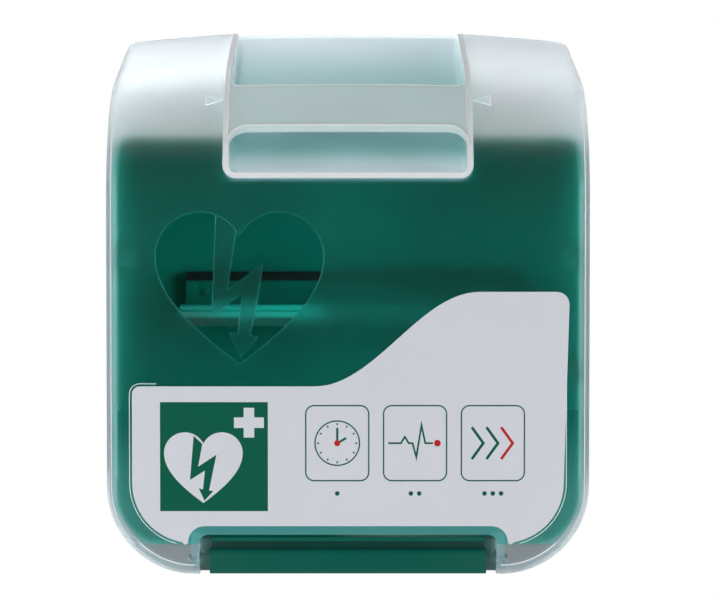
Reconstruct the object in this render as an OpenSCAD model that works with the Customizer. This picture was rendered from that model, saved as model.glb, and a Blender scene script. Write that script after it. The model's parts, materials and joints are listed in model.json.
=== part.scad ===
// Wall cabinet for a defibrillator: a frosted cover, hinged at the bottom, over a green base tray.
// X runs to the right, Y towards the wall and Z up. The origin is the middle of the wall screw
// holes, on the back face. A depth is measured from the front face of the closed cover.

/* [Cover] */
// Width of the cover across its side skirts
cover_w = 380; // [360:1:400]
// Height of the flat front, from the bottom edge to where the nose starts
front_h = 298; // [290:1:310]
// Depth of the closed cabinet, from the wall to the front face
cabinet_d = 196; // [188:1:206]
// Radius of the rounded nose at the top of the front
nose_r = 115; // [108:1:122]
// Slope of the top, rising towards the wall, in degrees
top_slope = 15.5; // [13:0.5:18]
// Drop of the nose and the top from the middle to the sides
crown = 9; // [5:0.5:12]
// Radius of the rounded edge between the front and the skirts
edge_r = 12; // [9:0.5:15]
// Radius of the bottom corners, seen from the front
corner_r = 70; // [64:1:76]
// Wall thickness of the cover
cover_wall = 3.5; // [2.5:0.25:4.5]
// Depth of the skirts along the sides and the top
skirt_side = 102; // [96:1:108]
// Depth of the skirt along the bottom
skirt_bottom = 26; // [22:0.5:28]
// Gap between the back edge of the cover and the wall
wall_gap = 2; // [1:0.5:4]

/* [Handle] */
// Width of the handle across its side walls
handle_w = 196; // [176:2:216]
// Height of the handle's bottom lip above where the nose starts
handle_rise = 14; // [8:1:20]
// Wall thickness of the handle's pocket
handle_wall = 4; // [3:0.5:5]
// Depth of the finger pocket behind the front surface
pocket_d = 38; // [33:1:42]
// Step from the top surface down to the pocket's floor, at the wall
pocket_step = 4; // [3:0.5:7]
// Angle on the nose where the grip bar starts, in degrees
bar_from = 27; // [24:1:31]
// Angle on the nose where the grip bar ends, in degrees
bar_to = 52; // [46:1:56]
// Thickness of the grip bar
bar_t = 5; // [4:0.5:7]
// Diameter of the rounded lower edge of the grip bar
bar_bead_d = 8; // [7:0.5:10]

/* [Label] */
// Height of the label's low left part above the cover's bottom edge
label_low = 149; // [140:1:156]
// Height of the label's high right part above the cover's bottom edge
label_high = 223; // [212:1:230]
// Margin between the label and the sides of the cover
label_margin = 19; // [16:0.5:24]
// Where the S-shaped edge starts, from the middle of the cover
swing_from = -26; // [-40:1:-10]
// Where the S-shaped edge ends, from the middle of the cover
swing_to = 103; // [90:1:116]
// Thickness of the label sheet
label_t = 0.4; // [0.2:0.1:0.8]

/* [Base tray] */
// Clearance between the sides of the tray and the inside of the cover
tray_gap = 1.5; // [1:0.25:3]
// Wall thickness of the tray
tray_wall = 3; // [2.5:0.25:4]
// How far the tray's rim lies behind the outer surface of the cover
rim_inset = 33; // [32:0.5:38]
// Gap between the tray's floor and the inside of the cover's bottom
floor_gap = 17.5; // [16:0.5:19]
// Height of the tray's roof above where the nose starts
roof_rise = 44; // [38:1:50]
// Radius of the tray's bottom corners
tray_corner_r = 58; // [52:1:64]
// Radius of the tray's top corners
tray_top_r = 12; // [8:1:20]
// Gap between the handle's pocket and the notch for it in the tray's roof
pocket_gap = 4; // [3:0.5:8]
// Height of the posts on the tray's back wall
post_h = 8; // [6:0.5:10]
// Diameter of the posts on the tray's back wall
post_d = 10; // [8:0.5:12]

/* [Wall fixing] */
// Height of the middle of the wall screw holes above the cover's bottom edge
screw_rise = 219; // [210:1:228]
// Distance between the wall screw holes, across
screw_x = 240; // [220:2:260]
// Distance between the wall screw holes, up and down
screw_z = 180; // [170:2:196]
// Diameter of the wall screw holes
screw_hole_d = 6.5; // [5:0.5:8]

/* [Hinge] */
// Length of the hinge bar between its end bosses
hinge_l = 217; // [200:1:230]
// Height of the bar's rounded roll
roll_h = 20; // [18:0.5:22]
// Depth of the bar's rounded roll
roll_d = 24; // [21:0.5:26]
// Radius of the roll's long edges
roll_edge_r = 5; // [3:0.5:7]
// Depth of the groove above the roll
groove_d = 5; // [3:0.5:8]
// Height of the groove above the roll
groove_h = 6; // [4:0.5:8]
// Thickness of the plate that joins the bar to the tray
sill_t = 3; // [2.5:0.25:4]
// Diameter of the hinge rod
rod_d = 5; // [4:0.5:6]
// Radial gap between the hinge rod and the ears that turn on it
run_gap = 0.05; // [0.02:0.01:0.09]
// Length of the bosses at the ends of the hinge bar
boss_l = 8; // [6:0.5:10]
// Diameter of the bosses at the ends of the hinge bar
boss_d = 17; // [14:0.5:18]
// Thickness of the cover's hinge ears
ear_t = 6; // [5:0.5:8]
// Gap between the hinge bar and the cover's ears
ear_gap = 0.5; // [0.3:0.1:1]
// Gap between the hinge bar and the cut-out in the cover
cut_gap = 4; // [3:0.5:6]
// Distance between the screws that hold the hinge bar
hinge_screw_pitch = 60; // [52:1:64]

/* [Shelf] */
// Width of the shelf
shelf_w = 276; // [260:2:290]
// Height of the shelf's floor below the wall screws' middle
shelf_drop = 25; // [20:1:30]
// Depth of the shelf's trough
shelf_d = 78; // [70:1:84]
// Height of the shelf's front lip above its floor
lip_h = 12; // [10:0.5:16]
// Height of the shelf's back flange above its floor
flange_h = 38; // [34:1:44]
// Thickness of the shelf
shelf_t = 3; // [2.5:0.25:4]
// Thickness of the rubber mat on the shelf
mat_t = 2; // [1.5:0.25:3]

/* [Catch and switch] */
// Height of the catches above where the wall screws' middle lies
catch_z = 30; // [20:1:44]
// Height of the switch below the wall screws' middle
switch_drop = 60; // [52:1:74]
// Diameter of the catch magnets and their plates
magnet_d = 12; // [10:0.5:14]
// Thickness of the magnets
magnet_t = 4; // [3:0.5:5]
// Thickness of the steel catch plates
plate_t = 1.5; // [1:0.25:2]
// Gap between a catch plate and its magnet when the cover is shut
catch_gap = 0.5; // [0.3:0.1:0.8]
// Width of the brackets inside the cover's skirts
bracket_w = 16; // [15:0.5:18]
// Thickness of the brackets inside the cover's skirts
bracket_t = 3.5; // [3:0.25:5]

/* [Alarm] */
// Width of the alarm housing
alarm_w = 124; // [118:1:134]
// Height of the alarm housing
alarm_h = 70; // [68:1:76]
// Depth of the alarm housing with its lid
alarm_d = 32; // [30:1:36]
// Wall thickness of the alarm housing and its lid
alarm_wall = 2; // [1.5:0.25:2.5]
// Offset of the alarm housing to the right of the middle
alarm_x = 60; // [50:1:68]
// Height of the alarm housing's middle below the wall screws' middle
alarm_drop = 138; // [134:1:144]
// Distance of the alarm's fixing screws from the sides of its housing
alarm_post_in = 22; // [20:0.5:24]
// Distance of the alarm's fixing screws below the top of its housing
alarm_post_down = 10; // [9:0.5:11]
// Diameter of the sounder
sounder_d = 30; // [26:1:34]
// Height of the sounder
sounder_h = 10; // [8:0.5:12]
// Diameter of a battery
battery_d = 14.5; // [14:0.1:15]
// Length of a battery
battery_l = 50; // [49:0.5:51]
// Thickness of the circuit board
board_t = 1.6; // [1:0.2:2]
// Travel of the on and off slider
slider_travel = 4; // [3:0.5:5]
// Diameter of the battery door's pivot pins
door_pin_d = 3; // [2.5:0.25:3.5]

/* [Fasteners] */
// Shank diameter of the screws
shank_d = 3.8; // [3.4:0.1:4.2]
// Head diameter of the screws
head_d = 7.5; // [7:0.25:8.5]
// Head height of the screws
head_h = 2.4; // [2:0.2:3]
// Radial gap between a screw and its hole
screw_gap = 0.1; // [0.05:0.05:0.2]
// Gap between pieces that seat against each other
seat_gap = 0.1; // [0.05:0.05:0.2]

/* [Hidden] */
$fn = 48;

green = [0.02, 0.30, 0.22];
frosted = [0.80, 0.86, 0.86, 0.55];
steel = [0.70, 0.71, 0.73];
far = 400;

// Heights and half widths that the pieces share
bottom_z = -screw_rise;
nose_z = front_h - screw_rise;
half_w = cover_w / 2;
inner_half_w = half_w - cover_wall;
corner_x = half_w - corner_r;
arc_end = 90 - top_slope;
tray_half_w = inner_half_w - tray_gap;
tray_floor_z = bottom_z + cover_wall + floor_gap;
roof_z = nose_z + roof_rise;

// Depth measured from the front face, as a Y coordinate
function at_depth(d) = d - cabinet_d;

// Height of the sloped top at a depth, moved in from the outer surface and lowered
function top_z(d, inset = 0, drop = 0) =
  nose_z - drop + (nose_r - inset) * cos(top_slope)
  + (d - nose_r + (nose_r - inset) * sin(top_slope)) * tan(top_slope);

// Point on the nose, as depth and height
function nose_point(angle, inset = 0, drop = 0) =
  [nose_r - (nose_r - inset) * cos(angle), nose_z - drop + (nose_r - inset) * sin(angle)];

// Points of an arc
function arc(centre, r, from, to, steps) =
  [for (i = [0:steps]) let (a = from + (to - from) * i / steps) centre + r * [cos(a), sin(a)]];

// Extrudes a side view, drawn as depth and height, across the cabinet
module across(w, x = 0) {
  translate([x, -cabinet_d, 0])
    rotate([90, 0, 90])
      linear_extrude(w, center = true) children();
}

// Extrudes a front view, drawn as X and Z, from one depth to another
module through(from, to) {
  translate([0, at_depth(to), 0])
    rotate([90, 0, 0])
      linear_extrude(to - from) children();
}

// A round bar along X
module bar_x(d, l, x = 0) {
  translate([x, 0, 0]) rotate([0, 90, 0]) cylinder(d = d, h = l, center = true);
}

// A round bar along Y, from one depth to another
module bar_y(d, from, to) {
  translate([0, at_depth(to), 0]) rotate([90, 0, 0]) cylinder(d = d, h = to - from);
}

// Side view of all that lies behind the front, the nose and the top, above a height
module behind(inset, low, drop = 0) {
  intersection() {
    union() {
      polygon([
        [inset, low], [cabinet_d, low], [cabinet_d, top_z(cabinet_d, inset, drop)],
        nose_point(arc_end, inset, drop), [nose_r, nose_z - drop], [inset, max(low, nose_z - drop)]
      ]);
      translate([nose_r, nose_z - drop]) circle(nose_r - inset, $fn = 96);
    }
    translate([inset, low]) square([cabinet_d - inset, far]);
  }
}

// A pan head screw with a cross recess: its shank runs along +Z from the origin, under the head
module screw(l) {
  recess_w = head_d / 6;
  cylinder(d = shank_d, h = l);
  difference() {
    translate([0, 0, -head_h]) cylinder(d = head_d, h = head_h);
    for (turn = [0, 90])
      rotate(turn)
        translate([-head_d / 4, -recess_w / 2, -head_h - 1]) cube([head_d / 2, recess_w, 2]);
  }
}

// Turns +Z to point at the wall
module to_wall() {
  rotate([-90, 0, 0]) children();
}

// Base tray

post_x = shelf_w / 2 - 16;
shelf_post_z = -shelf_drop + shelf_t + flange_h / 2;
alarm_z = -alarm_drop;
alarm_post_x = alarm_w / 2 - alarm_post_in;
alarm_post_z = alarm_z + alarm_h / 2 - alarm_post_down;
post_face = cabinet_d - tray_wall - post_h;
pilot_d = shank_d + 2 * screw_gap;
screw_l = post_h + shelf_t - 1;
boss_w = magnet_d + 5;
boss_back = 5;
magnet_x = tray_half_w - tray_wall - boss_w / 2;
boss_in_x = magnet_x - boss_w / 2;
boss_reach = boss_w + tray_wall / 2;
magnet_face = rim_inset + plate_t / 2 + catch_gap;
sill_w = hinge_l - 4;
foot_d = 22;
foot_from = rim_inset + 1;
hinge_screw_depth = foot_from + tray_wall + foot_d / 2;
hinge_screw_l = 8;
hinge_screw_x = [for (i = [-1.5:1.5]) i * hinge_screw_pitch];

module tray_outline(inset) {
  half = tray_half_w - inset;
  r = tray_corner_r - inset;
  top_r = tray_top_r - inset;
  low = tray_floor_z + inset;
  high = roof_z - inset;
  translate([-half, low + r]) square([2 * half, high - low - r - top_r]);
  translate([r - half, low]) square([2 * (half - r), high - low]);
  translate([top_r - half, low + r]) square([2 * (half - top_r), high - low - r]);
  for (side = [-1, 1]) {
    translate([side * (half - r), low + r]) circle(r, $fn = 72);
    translate([side * (half - top_r), high - top_r]) circle(top_r);
  }
}

// Room for the handle's pocket, cut out of the roof
module pocket_room() {
  w = handle_w + 2 * pocket_gap;
  under_r = pocket_r - handle_wall;
  back = nose_r - sqrt(pow(under_r, 2) - pow(roof_z - pocket_centre.y, 2)) + pocket_gap;
  translate([-w / 2, at_depth(0), roof_z - 2 * tray_wall]) cube([w, back, 3 * tray_wall]);
}

module each_post() {
  for (side = [-1, 1]) {
    translate([side * post_x, 0, shelf_post_z]) children();
    translate([alarm_x + side * alarm_post_x, 0, alarm_post_z]) children();
  }
}

module each_hinge_screw() {
  for (x = hinge_screw_x) translate([x, at_depth(hinge_screw_depth), 0]) children();
}

module base_tray() {
  color(green)
    difference() {
      union() {
        intersection() {
          difference() {
            through(rim_inset, cabinet_d) tray_outline(0);
            through(0, cabinet_d - tray_wall) tray_outline(tray_wall);
            pocket_room();
          }
          across(cover_w) behind(rim_inset, bottom_z);
        }
        each_post() bar_y(post_d, post_face, cabinet_d - tray_wall);
        for (side = [-1, 1])
          translate([side > 0 ? boss_in_x : -boss_in_x - boss_reach,
                     at_depth(magnet_face), catch_z - boss_w / 2])
            cube([boss_reach, magnet_t + boss_back, boss_w]);
        each_hinge_screw()
          translate([0, 0, tray_floor_z - hinge_screw_l + tray_wall])
            cylinder(d = post_d, h = hinge_screw_l - tray_wall / 2);
      }
      for (x = [-1, 1] * screw_x / 2, z = [-1, 1] * screw_z / 2)
        translate([x, 0, z]) bar_y(screw_hole_d, cabinet_d - tray_wall - 1, cabinet_d + 1);
      each_post() bar_y(pilot_d, post_face - 1, cabinet_d - tray_wall / 2);
      for (side = [-1, 1])
        translate([side * magnet_x, 0, catch_z])
          bar_y(magnet_d + 2 * seat_gap, magnet_face - 1, magnet_face + magnet_t);
      each_hinge_screw()
        translate([0, 0, tray_floor_z - hinge_screw_l + tray_wall + 1]) cylinder(d = pilot_d, h = 20);
    }
}

// Hinge

axis_depth = cover_wall / 2 + roll_d / 2 - 0.5;
axis_z = bottom_z + 1 + roll_h / 2;
roll_front = axis_depth - roll_d / 2;
roll_top_z = axis_z + roll_h / 2;
sill_z = roll_top_z + groove_h;
cut_half_w = hinge_l / 2 + boss_l + ear_gap;
cut_top_z = sill_z + sill_t / 2 + cut_gap;
ear_x = cut_half_w + ear_t / 2;
rod_l = 2 * (cut_half_w + ear_t) + 3;
cap_t = 2;
cap_rim = 1.8;
ear_clear = 0.4;

module roll_section() {
  r = roll_edge_r;
  translate([roll_front, axis_z - roll_h / 2 + r]) square([roll_d, roll_h - 2 * r]);
  translate([roll_front + r, axis_z - roll_h / 2]) square([roll_d - 2 * r, roll_h]);
  for (d = [roll_front + r, roll_front + roll_d - r], z = [-1, 1])
    translate([d, axis_z + z * (roll_h / 2 - r)]) circle(r);
}

module sill_section() {
  foot_z = tray_floor_z + tray_wall;
  translate([roll_front + groove_d, roll_top_z - 1]) square([roll_d - groove_d - roll_edge_r, groove_h + 2]);
  translate([roll_front + 1, sill_z]) square([foot_from + 2 * tray_wall - roll_front - 1, sill_t]);
  translate([foot_from + tray_wall, foot_z]) square([tray_wall, sill_z + sill_t - foot_z]);
  translate([foot_from + tray_wall, foot_z]) square([foot_d, sill_t]);
}

module hinge_bar() {
  color(green)
    difference() {
      union() {
        across(hinge_l) roll_section();
        across(sill_w) sill_section();
        translate([0, at_depth(axis_depth), axis_z]) bar_x(boss_d, hinge_l + 2 * boss_l);
      }
      translate([0, at_depth(axis_depth), axis_z]) bar_x(rod_d + 2 * run_gap, far);
      each_hinge_screw() translate([0, 0, tray_floor_z]) cylinder(d = pilot_d, h = 40);
    }
}

module hinge_screws() {
  color(steel)
    each_hinge_screw()
      translate([0, 0, tray_floor_z + tray_wall + sill_t])
        rotate([180, 0, 0]) screw(hinge_screw_l);
}

module hinge_rod() {
  color(steel)
    translate([0, at_depth(axis_depth), axis_z]) bar_x(rod_d, rod_l);
}

module rod_caps() {
  color(steel)
    for (side = [-1, 1])
      translate([side * (cut_half_w + ear_t + ear_gap + cap_t / 2), at_depth(axis_depth), axis_z])
        difference() {
          bar_x(rod_d + 2 * cap_rim, cap_t);
          bar_x(rod_d + 2 * run_gap, cap_t + 1);
        }
}

// Height of the inside of the cover's bottom, which rises in the corners
function inner_bottom_z(x) =
  bottom_z + corner_r - sqrt(pow(corner_r - cover_wall, 2) - pow(max(0, x - corner_x), 2));

// The ear fills the corner between the cover's front and its bottom, clear of the inner rounding
module hinge_ears() {
  low = inner_bottom_z(cut_half_w + ear_t) + ear_clear;
  front = cover_wall + seat_gap;
  r = edge_r - cover_wall + 1;
  height = cut_top_z - low;
  color(frosted)
    for (side = [-1, 1])
      difference() {
        across(ear_t, side * ear_x) {
          translate([front + r, low]) square([2 * axis_depth - front - r, height]);
          translate([front, low + r]) square([2 * axis_depth - front, height - r]);
          translate([front + r, low + r]) circle(r);
        }
        translate([0, at_depth(axis_depth), axis_z]) bar_x(rod_d + 2 * run_gap, far);
      }
}

// Shelf for the defibrillator

shelf_front = post_face - shelf_t - shelf_d;
shelf_z = -shelf_drop;

module shelf_section() {
  translate([post_face - shelf_t, shelf_z - shelf_t]) square([shelf_t, flange_h + shelf_t]);
  translate([shelf_front - shelf_t, shelf_z - shelf_t]) square([shelf_d + 2 * shelf_t, shelf_t]);
  translate([shelf_front - shelf_t, shelf_z - shelf_t]) square([shelf_t, lip_h + shelf_t]);
  translate([shelf_front - shelf_t, shelf_z + lip_h]) circle(shelf_t);
}

module device_shelf() {
  color(green)
    difference() {
      across(shelf_w) shelf_section();
      for (side = [-1, 1])
        translate([side * post_x, 0, shelf_post_z])
          bar_y(pilot_d, post_face - shelf_t - 1, post_face + 1);
    }
}

module shelf_mat() {
  margin = 4;
  color([0.12, 0.13, 0.13])
    translate([-shelf_w / 2 + margin, at_depth(shelf_front + margin), shelf_z])
      cube([shelf_w - 2 * margin, shelf_d - 2 * margin, mat_t]);
}

module shelf_screws() {
  color(steel)
    for (side = [-1, 1])
      translate([side * post_x, at_depth(post_face - shelf_t), shelf_post_z]) to_wall() screw(screw_l);
}

// Catch and opening switch

switch_z = -switch_drop;
bracket_back = magnet_face - catch_gap - plate_t;
reed_size = [8, 9, 22];
switch_magnet_size = [10, 4, 10];

module catch_magnets() {
  color(steel)
    for (side = [-1, 1])
      translate([side * magnet_x, 0, catch_z]) bar_y(magnet_d, magnet_face, magnet_face + magnet_t);
}

module catch_plates() {
  color(steel)
    for (side = [-1, 1])
      translate([side * magnet_x, 0, catch_z]) bar_y(magnet_d, bracket_back, bracket_back + plate_t);
}

module bracket(side, z) {
  reach = inner_half_w - seat_gap - magnet_x + magnet_d / 2 + 1;
  translate([side > 0 ? inner_half_w - seat_gap - reach : seat_gap - inner_half_w,
             at_depth(bracket_back - bracket_t), z - bracket_w / 2])
    cube([reach, bracket_t, bracket_w]);
}

module cover_brackets() {
  color(green) {
    for (side = [-1, 1]) bracket(side, catch_z);
    bracket(1, switch_z);
  }
}

module switch_magnet() {
  color(green)
    translate([magnet_x, at_depth(bracket_back - bracket_t), switch_z])
      translate([-switch_magnet_size.x / 2, -switch_magnet_size.y, -switch_magnet_size.z / 2])
        cube(switch_magnet_size);
}

module reed_switch() {
  color([0.90, 0.90, 0.88])
    translate([tray_half_w - tray_wall - reed_size.x, at_depth(rim_inset + 2), switch_z - reed_size.z / 2])
      cube(reed_size);
}

// Alarm

alarm_back = post_face;
alarm_front = alarm_back - alarm_d;
lid_back = alarm_front + alarm_wall;
inner_w = alarm_w - 2 * alarm_wall;
inner_h = alarm_h - 2 * alarm_wall;
cell_x = alarm_x + alarm_w / 4;
cell_pitch = battery_d + 1.5;
cell_space = battery_l + 4;
cradle_l = cell_space + 3;
cradle_h = 2 * cell_pitch + 4;
cradle_back = alarm_back - alarm_wall;
cell_depth = cradle_back - 2 - battery_d / 2 - seat_gap;
cradle_front = cell_depth - battery_d / 4;
contact_t = 0.6;
lid_screw_l = 9;
lid_post_x = alarm_w / 2 - alarm_wall - 4;
lid_post_z = alarm_h / 2 - alarm_wall - 4;
lid_post_d = 7;
board_x = alarm_x - alarm_w / 4 - 1;
board_w = inner_w / 2 - 6;
board_h = 2 * (lid_post_z - lid_post_d / 2 - 1);
board_back = alarm_back - alarm_wall - 5;
sounder_z = alarm_z + 9;
slider_z = alarm_z - alarm_h / 2 + 15;
slider_w = 8;
slider_h = 5;
slider_t = 2;
slider_slot_gap = 0.4;

module alarm_block(w, h, from, to, x = alarm_x, z = alarm_z) {
  translate([x - w / 2, at_depth(from), z - h / 2]) cube([w, to - from, h]);
}

module each_lid_post() {
  for (x = [-1, 1] * lid_post_x, z = [-1, 1] * lid_post_z)
    translate([alarm_x + x, 0, alarm_z + z]) children();
}

module each_board_post() {
  for (x = [-1, 1], z = [-1, 1])
    translate([board_x + x * (board_w / 2 - 10), 0, alarm_z + z * (board_h / 2 - 3)]) children();
}

module alarm_housing() {
  color([0.86, 0.87, 0.86])
    difference() {
      union() {
        difference() {
          alarm_block(alarm_w, alarm_h, lid_back, alarm_back);
          alarm_block(inner_w, inner_h, lid_back - 1, alarm_back - alarm_wall);
        }
        each_lid_post() bar_y(lid_post_d, lid_back, alarm_back - alarm_wall / 2);
        each_board_post() bar_y(5, board_back, alarm_back - alarm_wall / 2);
      }
      for (side = [-1, 1])
        translate([alarm_x + side * alarm_post_x, 0, alarm_post_z])
          bar_y(pilot_d, alarm_back - alarm_wall - 1, alarm_back + 1);
      each_lid_post() bar_y(pilot_d, lid_back - 1, lid_back + lid_screw_l);
    }
}

module alarm_screws() {
  color(steel)
    for (side = [-1, 1])
      translate([alarm_x + side * alarm_post_x, at_depth(alarm_back - alarm_wall), alarm_post_z])
        to_wall() screw(post_h + alarm_wall - 2);
}

module alarm_board() {
  color([0.05, 0.32, 0.16]) alarm_block(board_w, board_h, board_back - board_t, board_back, board_x);
}

module sounder() {
  face = board_back - board_t;
  color([0.10, 0.10, 0.11])
    translate([board_x, 0, sounder_z])
      difference() {
        bar_y(sounder_d, face - sounder_h, face);
        bar_y(sounder_d / 6, face - sounder_h - 1, face - sounder_h / 2);
      }
}

module battery_cradle() {
  color([0.13, 0.13, 0.14])
    difference() {
      alarm_block(cradle_l, cradle_h, cradle_front, cradle_back, cell_x);
      for (row = [-1, 1])
        translate([cell_x, at_depth(cell_depth), alarm_z + row * cell_pitch / 2])
          bar_x(battery_d + 2 * seat_gap, cell_space);
      alarm_block(cell_space, cradle_h - 6, cradle_front - 1, cell_depth, cell_x);
    }
}

module batteries() {
  nub_d = battery_d / 3;
  nub_l = 1.5;
  color([0.16, 0.17, 0.18])
    for (row = [-1, 1])
      translate([cell_x, at_depth(cell_depth), alarm_z + row * cell_pitch / 2]) {
        bar_x(battery_d, battery_l - nub_l);
        bar_x(nub_d, nub_l, row * battery_l / 2);
      }
}

module battery_contacts() {
  color(steel)
    for (side = [-1, 1])
      alarm_block(contact_t, cradle_h - 8, cradle_front + 1, cell_depth,
                  cell_x + side * (cell_space / 2 - contact_t / 2));
}

// The battery door swings forward about pins along its lower edge
door_w = cradle_l - 6;
door_h = cradle_h - 2;
door_t = 2;
door_gap = 0.4;
door_low_z = alarm_z - door_h / 2;
door_top_z = alarm_z + door_h / 2;
door_pin_l = 4;
knuckle_d = door_pin_d + 2.4;
door_axis_depth = alarm_front - knuckle_d / 2 - door_gap;
door_axis_z = door_low_z - knuckle_d / 2;
door_ear_w = door_pin_l;

module door_ear_section() {
  translate([door_axis_depth, door_axis_z - knuckle_d / 2])
    square([alarm_front + alarm_wall / 2 - door_axis_depth, knuckle_d]);
  translate([door_axis_depth, door_axis_z]) circle(d = knuckle_d);
}

module alarm_lid() {
  slot_w = 2.4;
  ear_offset = door_w / 2 + door_ear_w / 2 + door_gap;
  color([0.90, 0.91, 0.90])
    difference() {
      union() {
        alarm_block(alarm_w, alarm_h, alarm_front, lid_back);
        for (side = [-1, 1]) across(door_ear_w, cell_x + side * ear_offset) door_ear_section();
      }
      alarm_block(door_w - 6, door_h - 6, alarm_front - 1, lid_back + 1, cell_x);
      for (i = [-2:2])
        alarm_block(2 * sounder_d / 3, slot_w, alarm_front - 1, lid_back + 1,
                    board_x, sounder_z + i * 2 * slot_w);
      alarm_block(slider_w + slider_travel + 2 * slider_slot_gap, slider_h + 2 * slider_slot_gap,
                  alarm_front - 1, lid_back + 1, board_x + slider_travel / 2, slider_z);
      each_lid_post() bar_y(pilot_d, alarm_front - 1, lid_back + 1);
      translate([cell_x, at_depth(door_axis_depth), door_axis_z]) bar_x(door_pin_d + 2 * run_gap, far / 4);
    }
}

module lid_screws() {
  color(steel)
    each_lid_post() translate([0, at_depth(alarm_front), 0]) to_wall() screw(lid_screw_l);
}

module battery_door() {
  color([0.82, 0.83, 0.82]) {
    alarm_block(door_w, door_top_z - door_axis_z, alarm_front - door_gap - door_t, alarm_front - door_gap,
                cell_x, (door_top_z + door_axis_z) / 2);
    translate([cell_x, at_depth(door_axis_depth), door_axis_z]) {
      bar_x(knuckle_d, door_w);
      bar_x(door_pin_d, door_w + 2 * (door_gap + door_pin_l));
    }
  }
}

// The slider's flange runs behind the lid and its button stands out through the slot
module power_slider() {
  flange_margin = 3;
  color([0.75, 0.10, 0.08]) {
    alarm_block(slider_w, slider_h, alarm_front - slider_t, lid_back + 1, board_x, slider_z);
    alarm_block(slider_w + 2 * flange_margin, slider_h + 2 * flange_margin, lid_back + seat_gap * 3,
                lid_back + 2, board_x, slider_z);
  }
}

// Cover

corner_steps = 10;
nose_steps = 12;
edge_steps = 5;
columns = 10;
skirt_ramp = 60;

// A station on the outline is a point, its outward and its inward direction, its crown and its skirt
function corner_station(a) =
  [[corner_x + corner_r * sin(a), at_depth(0), bottom_z + corner_r * (1 - cos(a))],
   [sin(a), 0, -cos(a)], [0, 1, 0], 0, skirt_bottom];
function side_station(z, skirt) =
  [[half_w, at_depth(0), z], [1, 0, 0], [0, 1, 0], 0, skirt];
function nose_station(b) =
  let (p = nose_point(b))
  [[half_w, at_depth(p.x), p.y], [1, 0, 0], [0, cos(b), -sin(b)], crown * b / arc_end, skirt_side];
function top_station(d) =
  [[half_w, at_depth(d), top_z(d)], [1, 0, 0], [0, cos(arc_end), -sin(arc_end)], crown, skirt_side];

right_stations = concat(
  [for (i = [0:corner_steps]) corner_station(90 * i / corner_steps)],
  [side_station(bottom_z + corner_r + skirt_ramp, skirt_side)],
  [for (i = [0:nose_steps]) nose_station(arc_end * i / nose_steps)],
  [top_station(cabinet_d + skirt_side / 2)]
);
rows = len(right_stations);

function flip(v) = [-v.x, v.y, v.z];
function mirrored(s) = [flip(s[0]), flip(s[1]), s[2], s[3], s[4]];
function bottom_station(x) = [[x, at_depth(0), bottom_z], [0, 0, -1], [0, 1, 0], 0, skirt_bottom];

stations = concat(
  [for (i = [rows - 1:-1:0]) mirrored(right_stations[i])],
  [for (j = [1:columns - 1]) bottom_station(corner_x * (2 * j / columns - 1))],
  right_stations
);
ring = edge_steps + 2;
station_count = len(stations);

// Points across one station, from the skirt's rim round the edge to the face
function station_points(s, inset) =
  let (r = edge_r - inset)
  concat(
    [s[0] - inset * s[1] + s[4] * s[2]],
    [for (k = [edge_steps:-1:0])
      let (phi = 90 * k / edge_steps)
      s[0] - (inset + r * (1 - sin(phi))) * s[1] + (inset + r * (1 - cos(phi)) + s[3]) * s[2]]
  );

// Point of the face in a row, at a share from -1 to 1 of the row's width
function face_point(s, share, inset) =
  s[0] - edge_r * s[1] + (inset + s[3] * share * share) * s[2]
  + [(share - 1) * (s[0].x - edge_r * s[1].x), 0, 0];

function skin_points(inset) = concat(
  [for (s = stations) each station_points(s, inset)],
  [for (i = [1:rows - 1], j = [1:columns - 1])
    face_point(right_stations[i], 2 * j / columns - 1, inset)]
);
skin_size = station_count * ring + (rows - 1) * (columns - 1);

function edge_index(s, k) = s * ring + k;
function face_index(i, j) =
  j == 0 ? edge_index(rows - 1 - i, ring - 1)
  : j == columns ? edge_index(rows + columns - 1 + i, ring - 1)
  : i == 0 ? edge_index(rows - 1 + j, ring - 1)
  : station_count * ring + (i - 1) * (columns - 1) + j - 1;

function two(a, b, c, d) = [[a, b, c], [a, c, d]];
function skin_faces() = concat(
  [for (s = [0:station_count - 2], k = [0:ring - 2])
    each two(edge_index(s, k), edge_index(s, k + 1), edge_index(s + 1, k + 1), edge_index(s + 1, k))],
  [for (i = [0:rows - 2], j = [0:columns - 1])
    each two(face_index(i, j), face_index(i + 1, j), face_index(i + 1, j + 1), face_index(i, j + 1))]
);
function turned(faces) = [for (f = faces) [for (i = [2:-1:0]) f[i] + skin_size]];

// The open border of a skin runs along the rim, then over the back end
border = concat(
  [for (s = [0:station_count - 1]) edge_index(s, 0)],
  [for (k = [1:ring - 1]) edge_index(station_count - 1, k)],
  [for (j = [columns - 1:-1:0]) face_index(rows - 1, j)],
  [for (k = [ring - 2:-1:1]) edge_index(0, k)]
);
border_faces = [
  for (i = [0:len(border) - 1])
    let (a = border[i], b = border[(i + 1) % len(border)])
    each two(a, b, b + skin_size, a + skin_size)
];

module cover_shell() {
  polyhedron(
    points = concat(skin_points(0), skin_points(cover_wall)),
    faces = concat(skin_faces(), turned(skin_faces()), border_faces)
  );
}

handle_drop = crown * pow(handle_w / cover_w, 2);
lip_z = nose_z + handle_rise;
notch_r = 6;
notch_half_w = handle_w / 2 + seat_gap;

module notch_outline() {
  low = lip_z - seat_gap;
  translate([-notch_half_w, low + notch_r]) square([2 * notch_half_w, far]);
  translate([notch_r - notch_half_w, low]) square([2 * (notch_half_w - notch_r), far]);
  for (side = [-1, 1])
    translate([side * (notch_half_w - notch_r), low + notch_r]) circle(notch_r);
}

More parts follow.
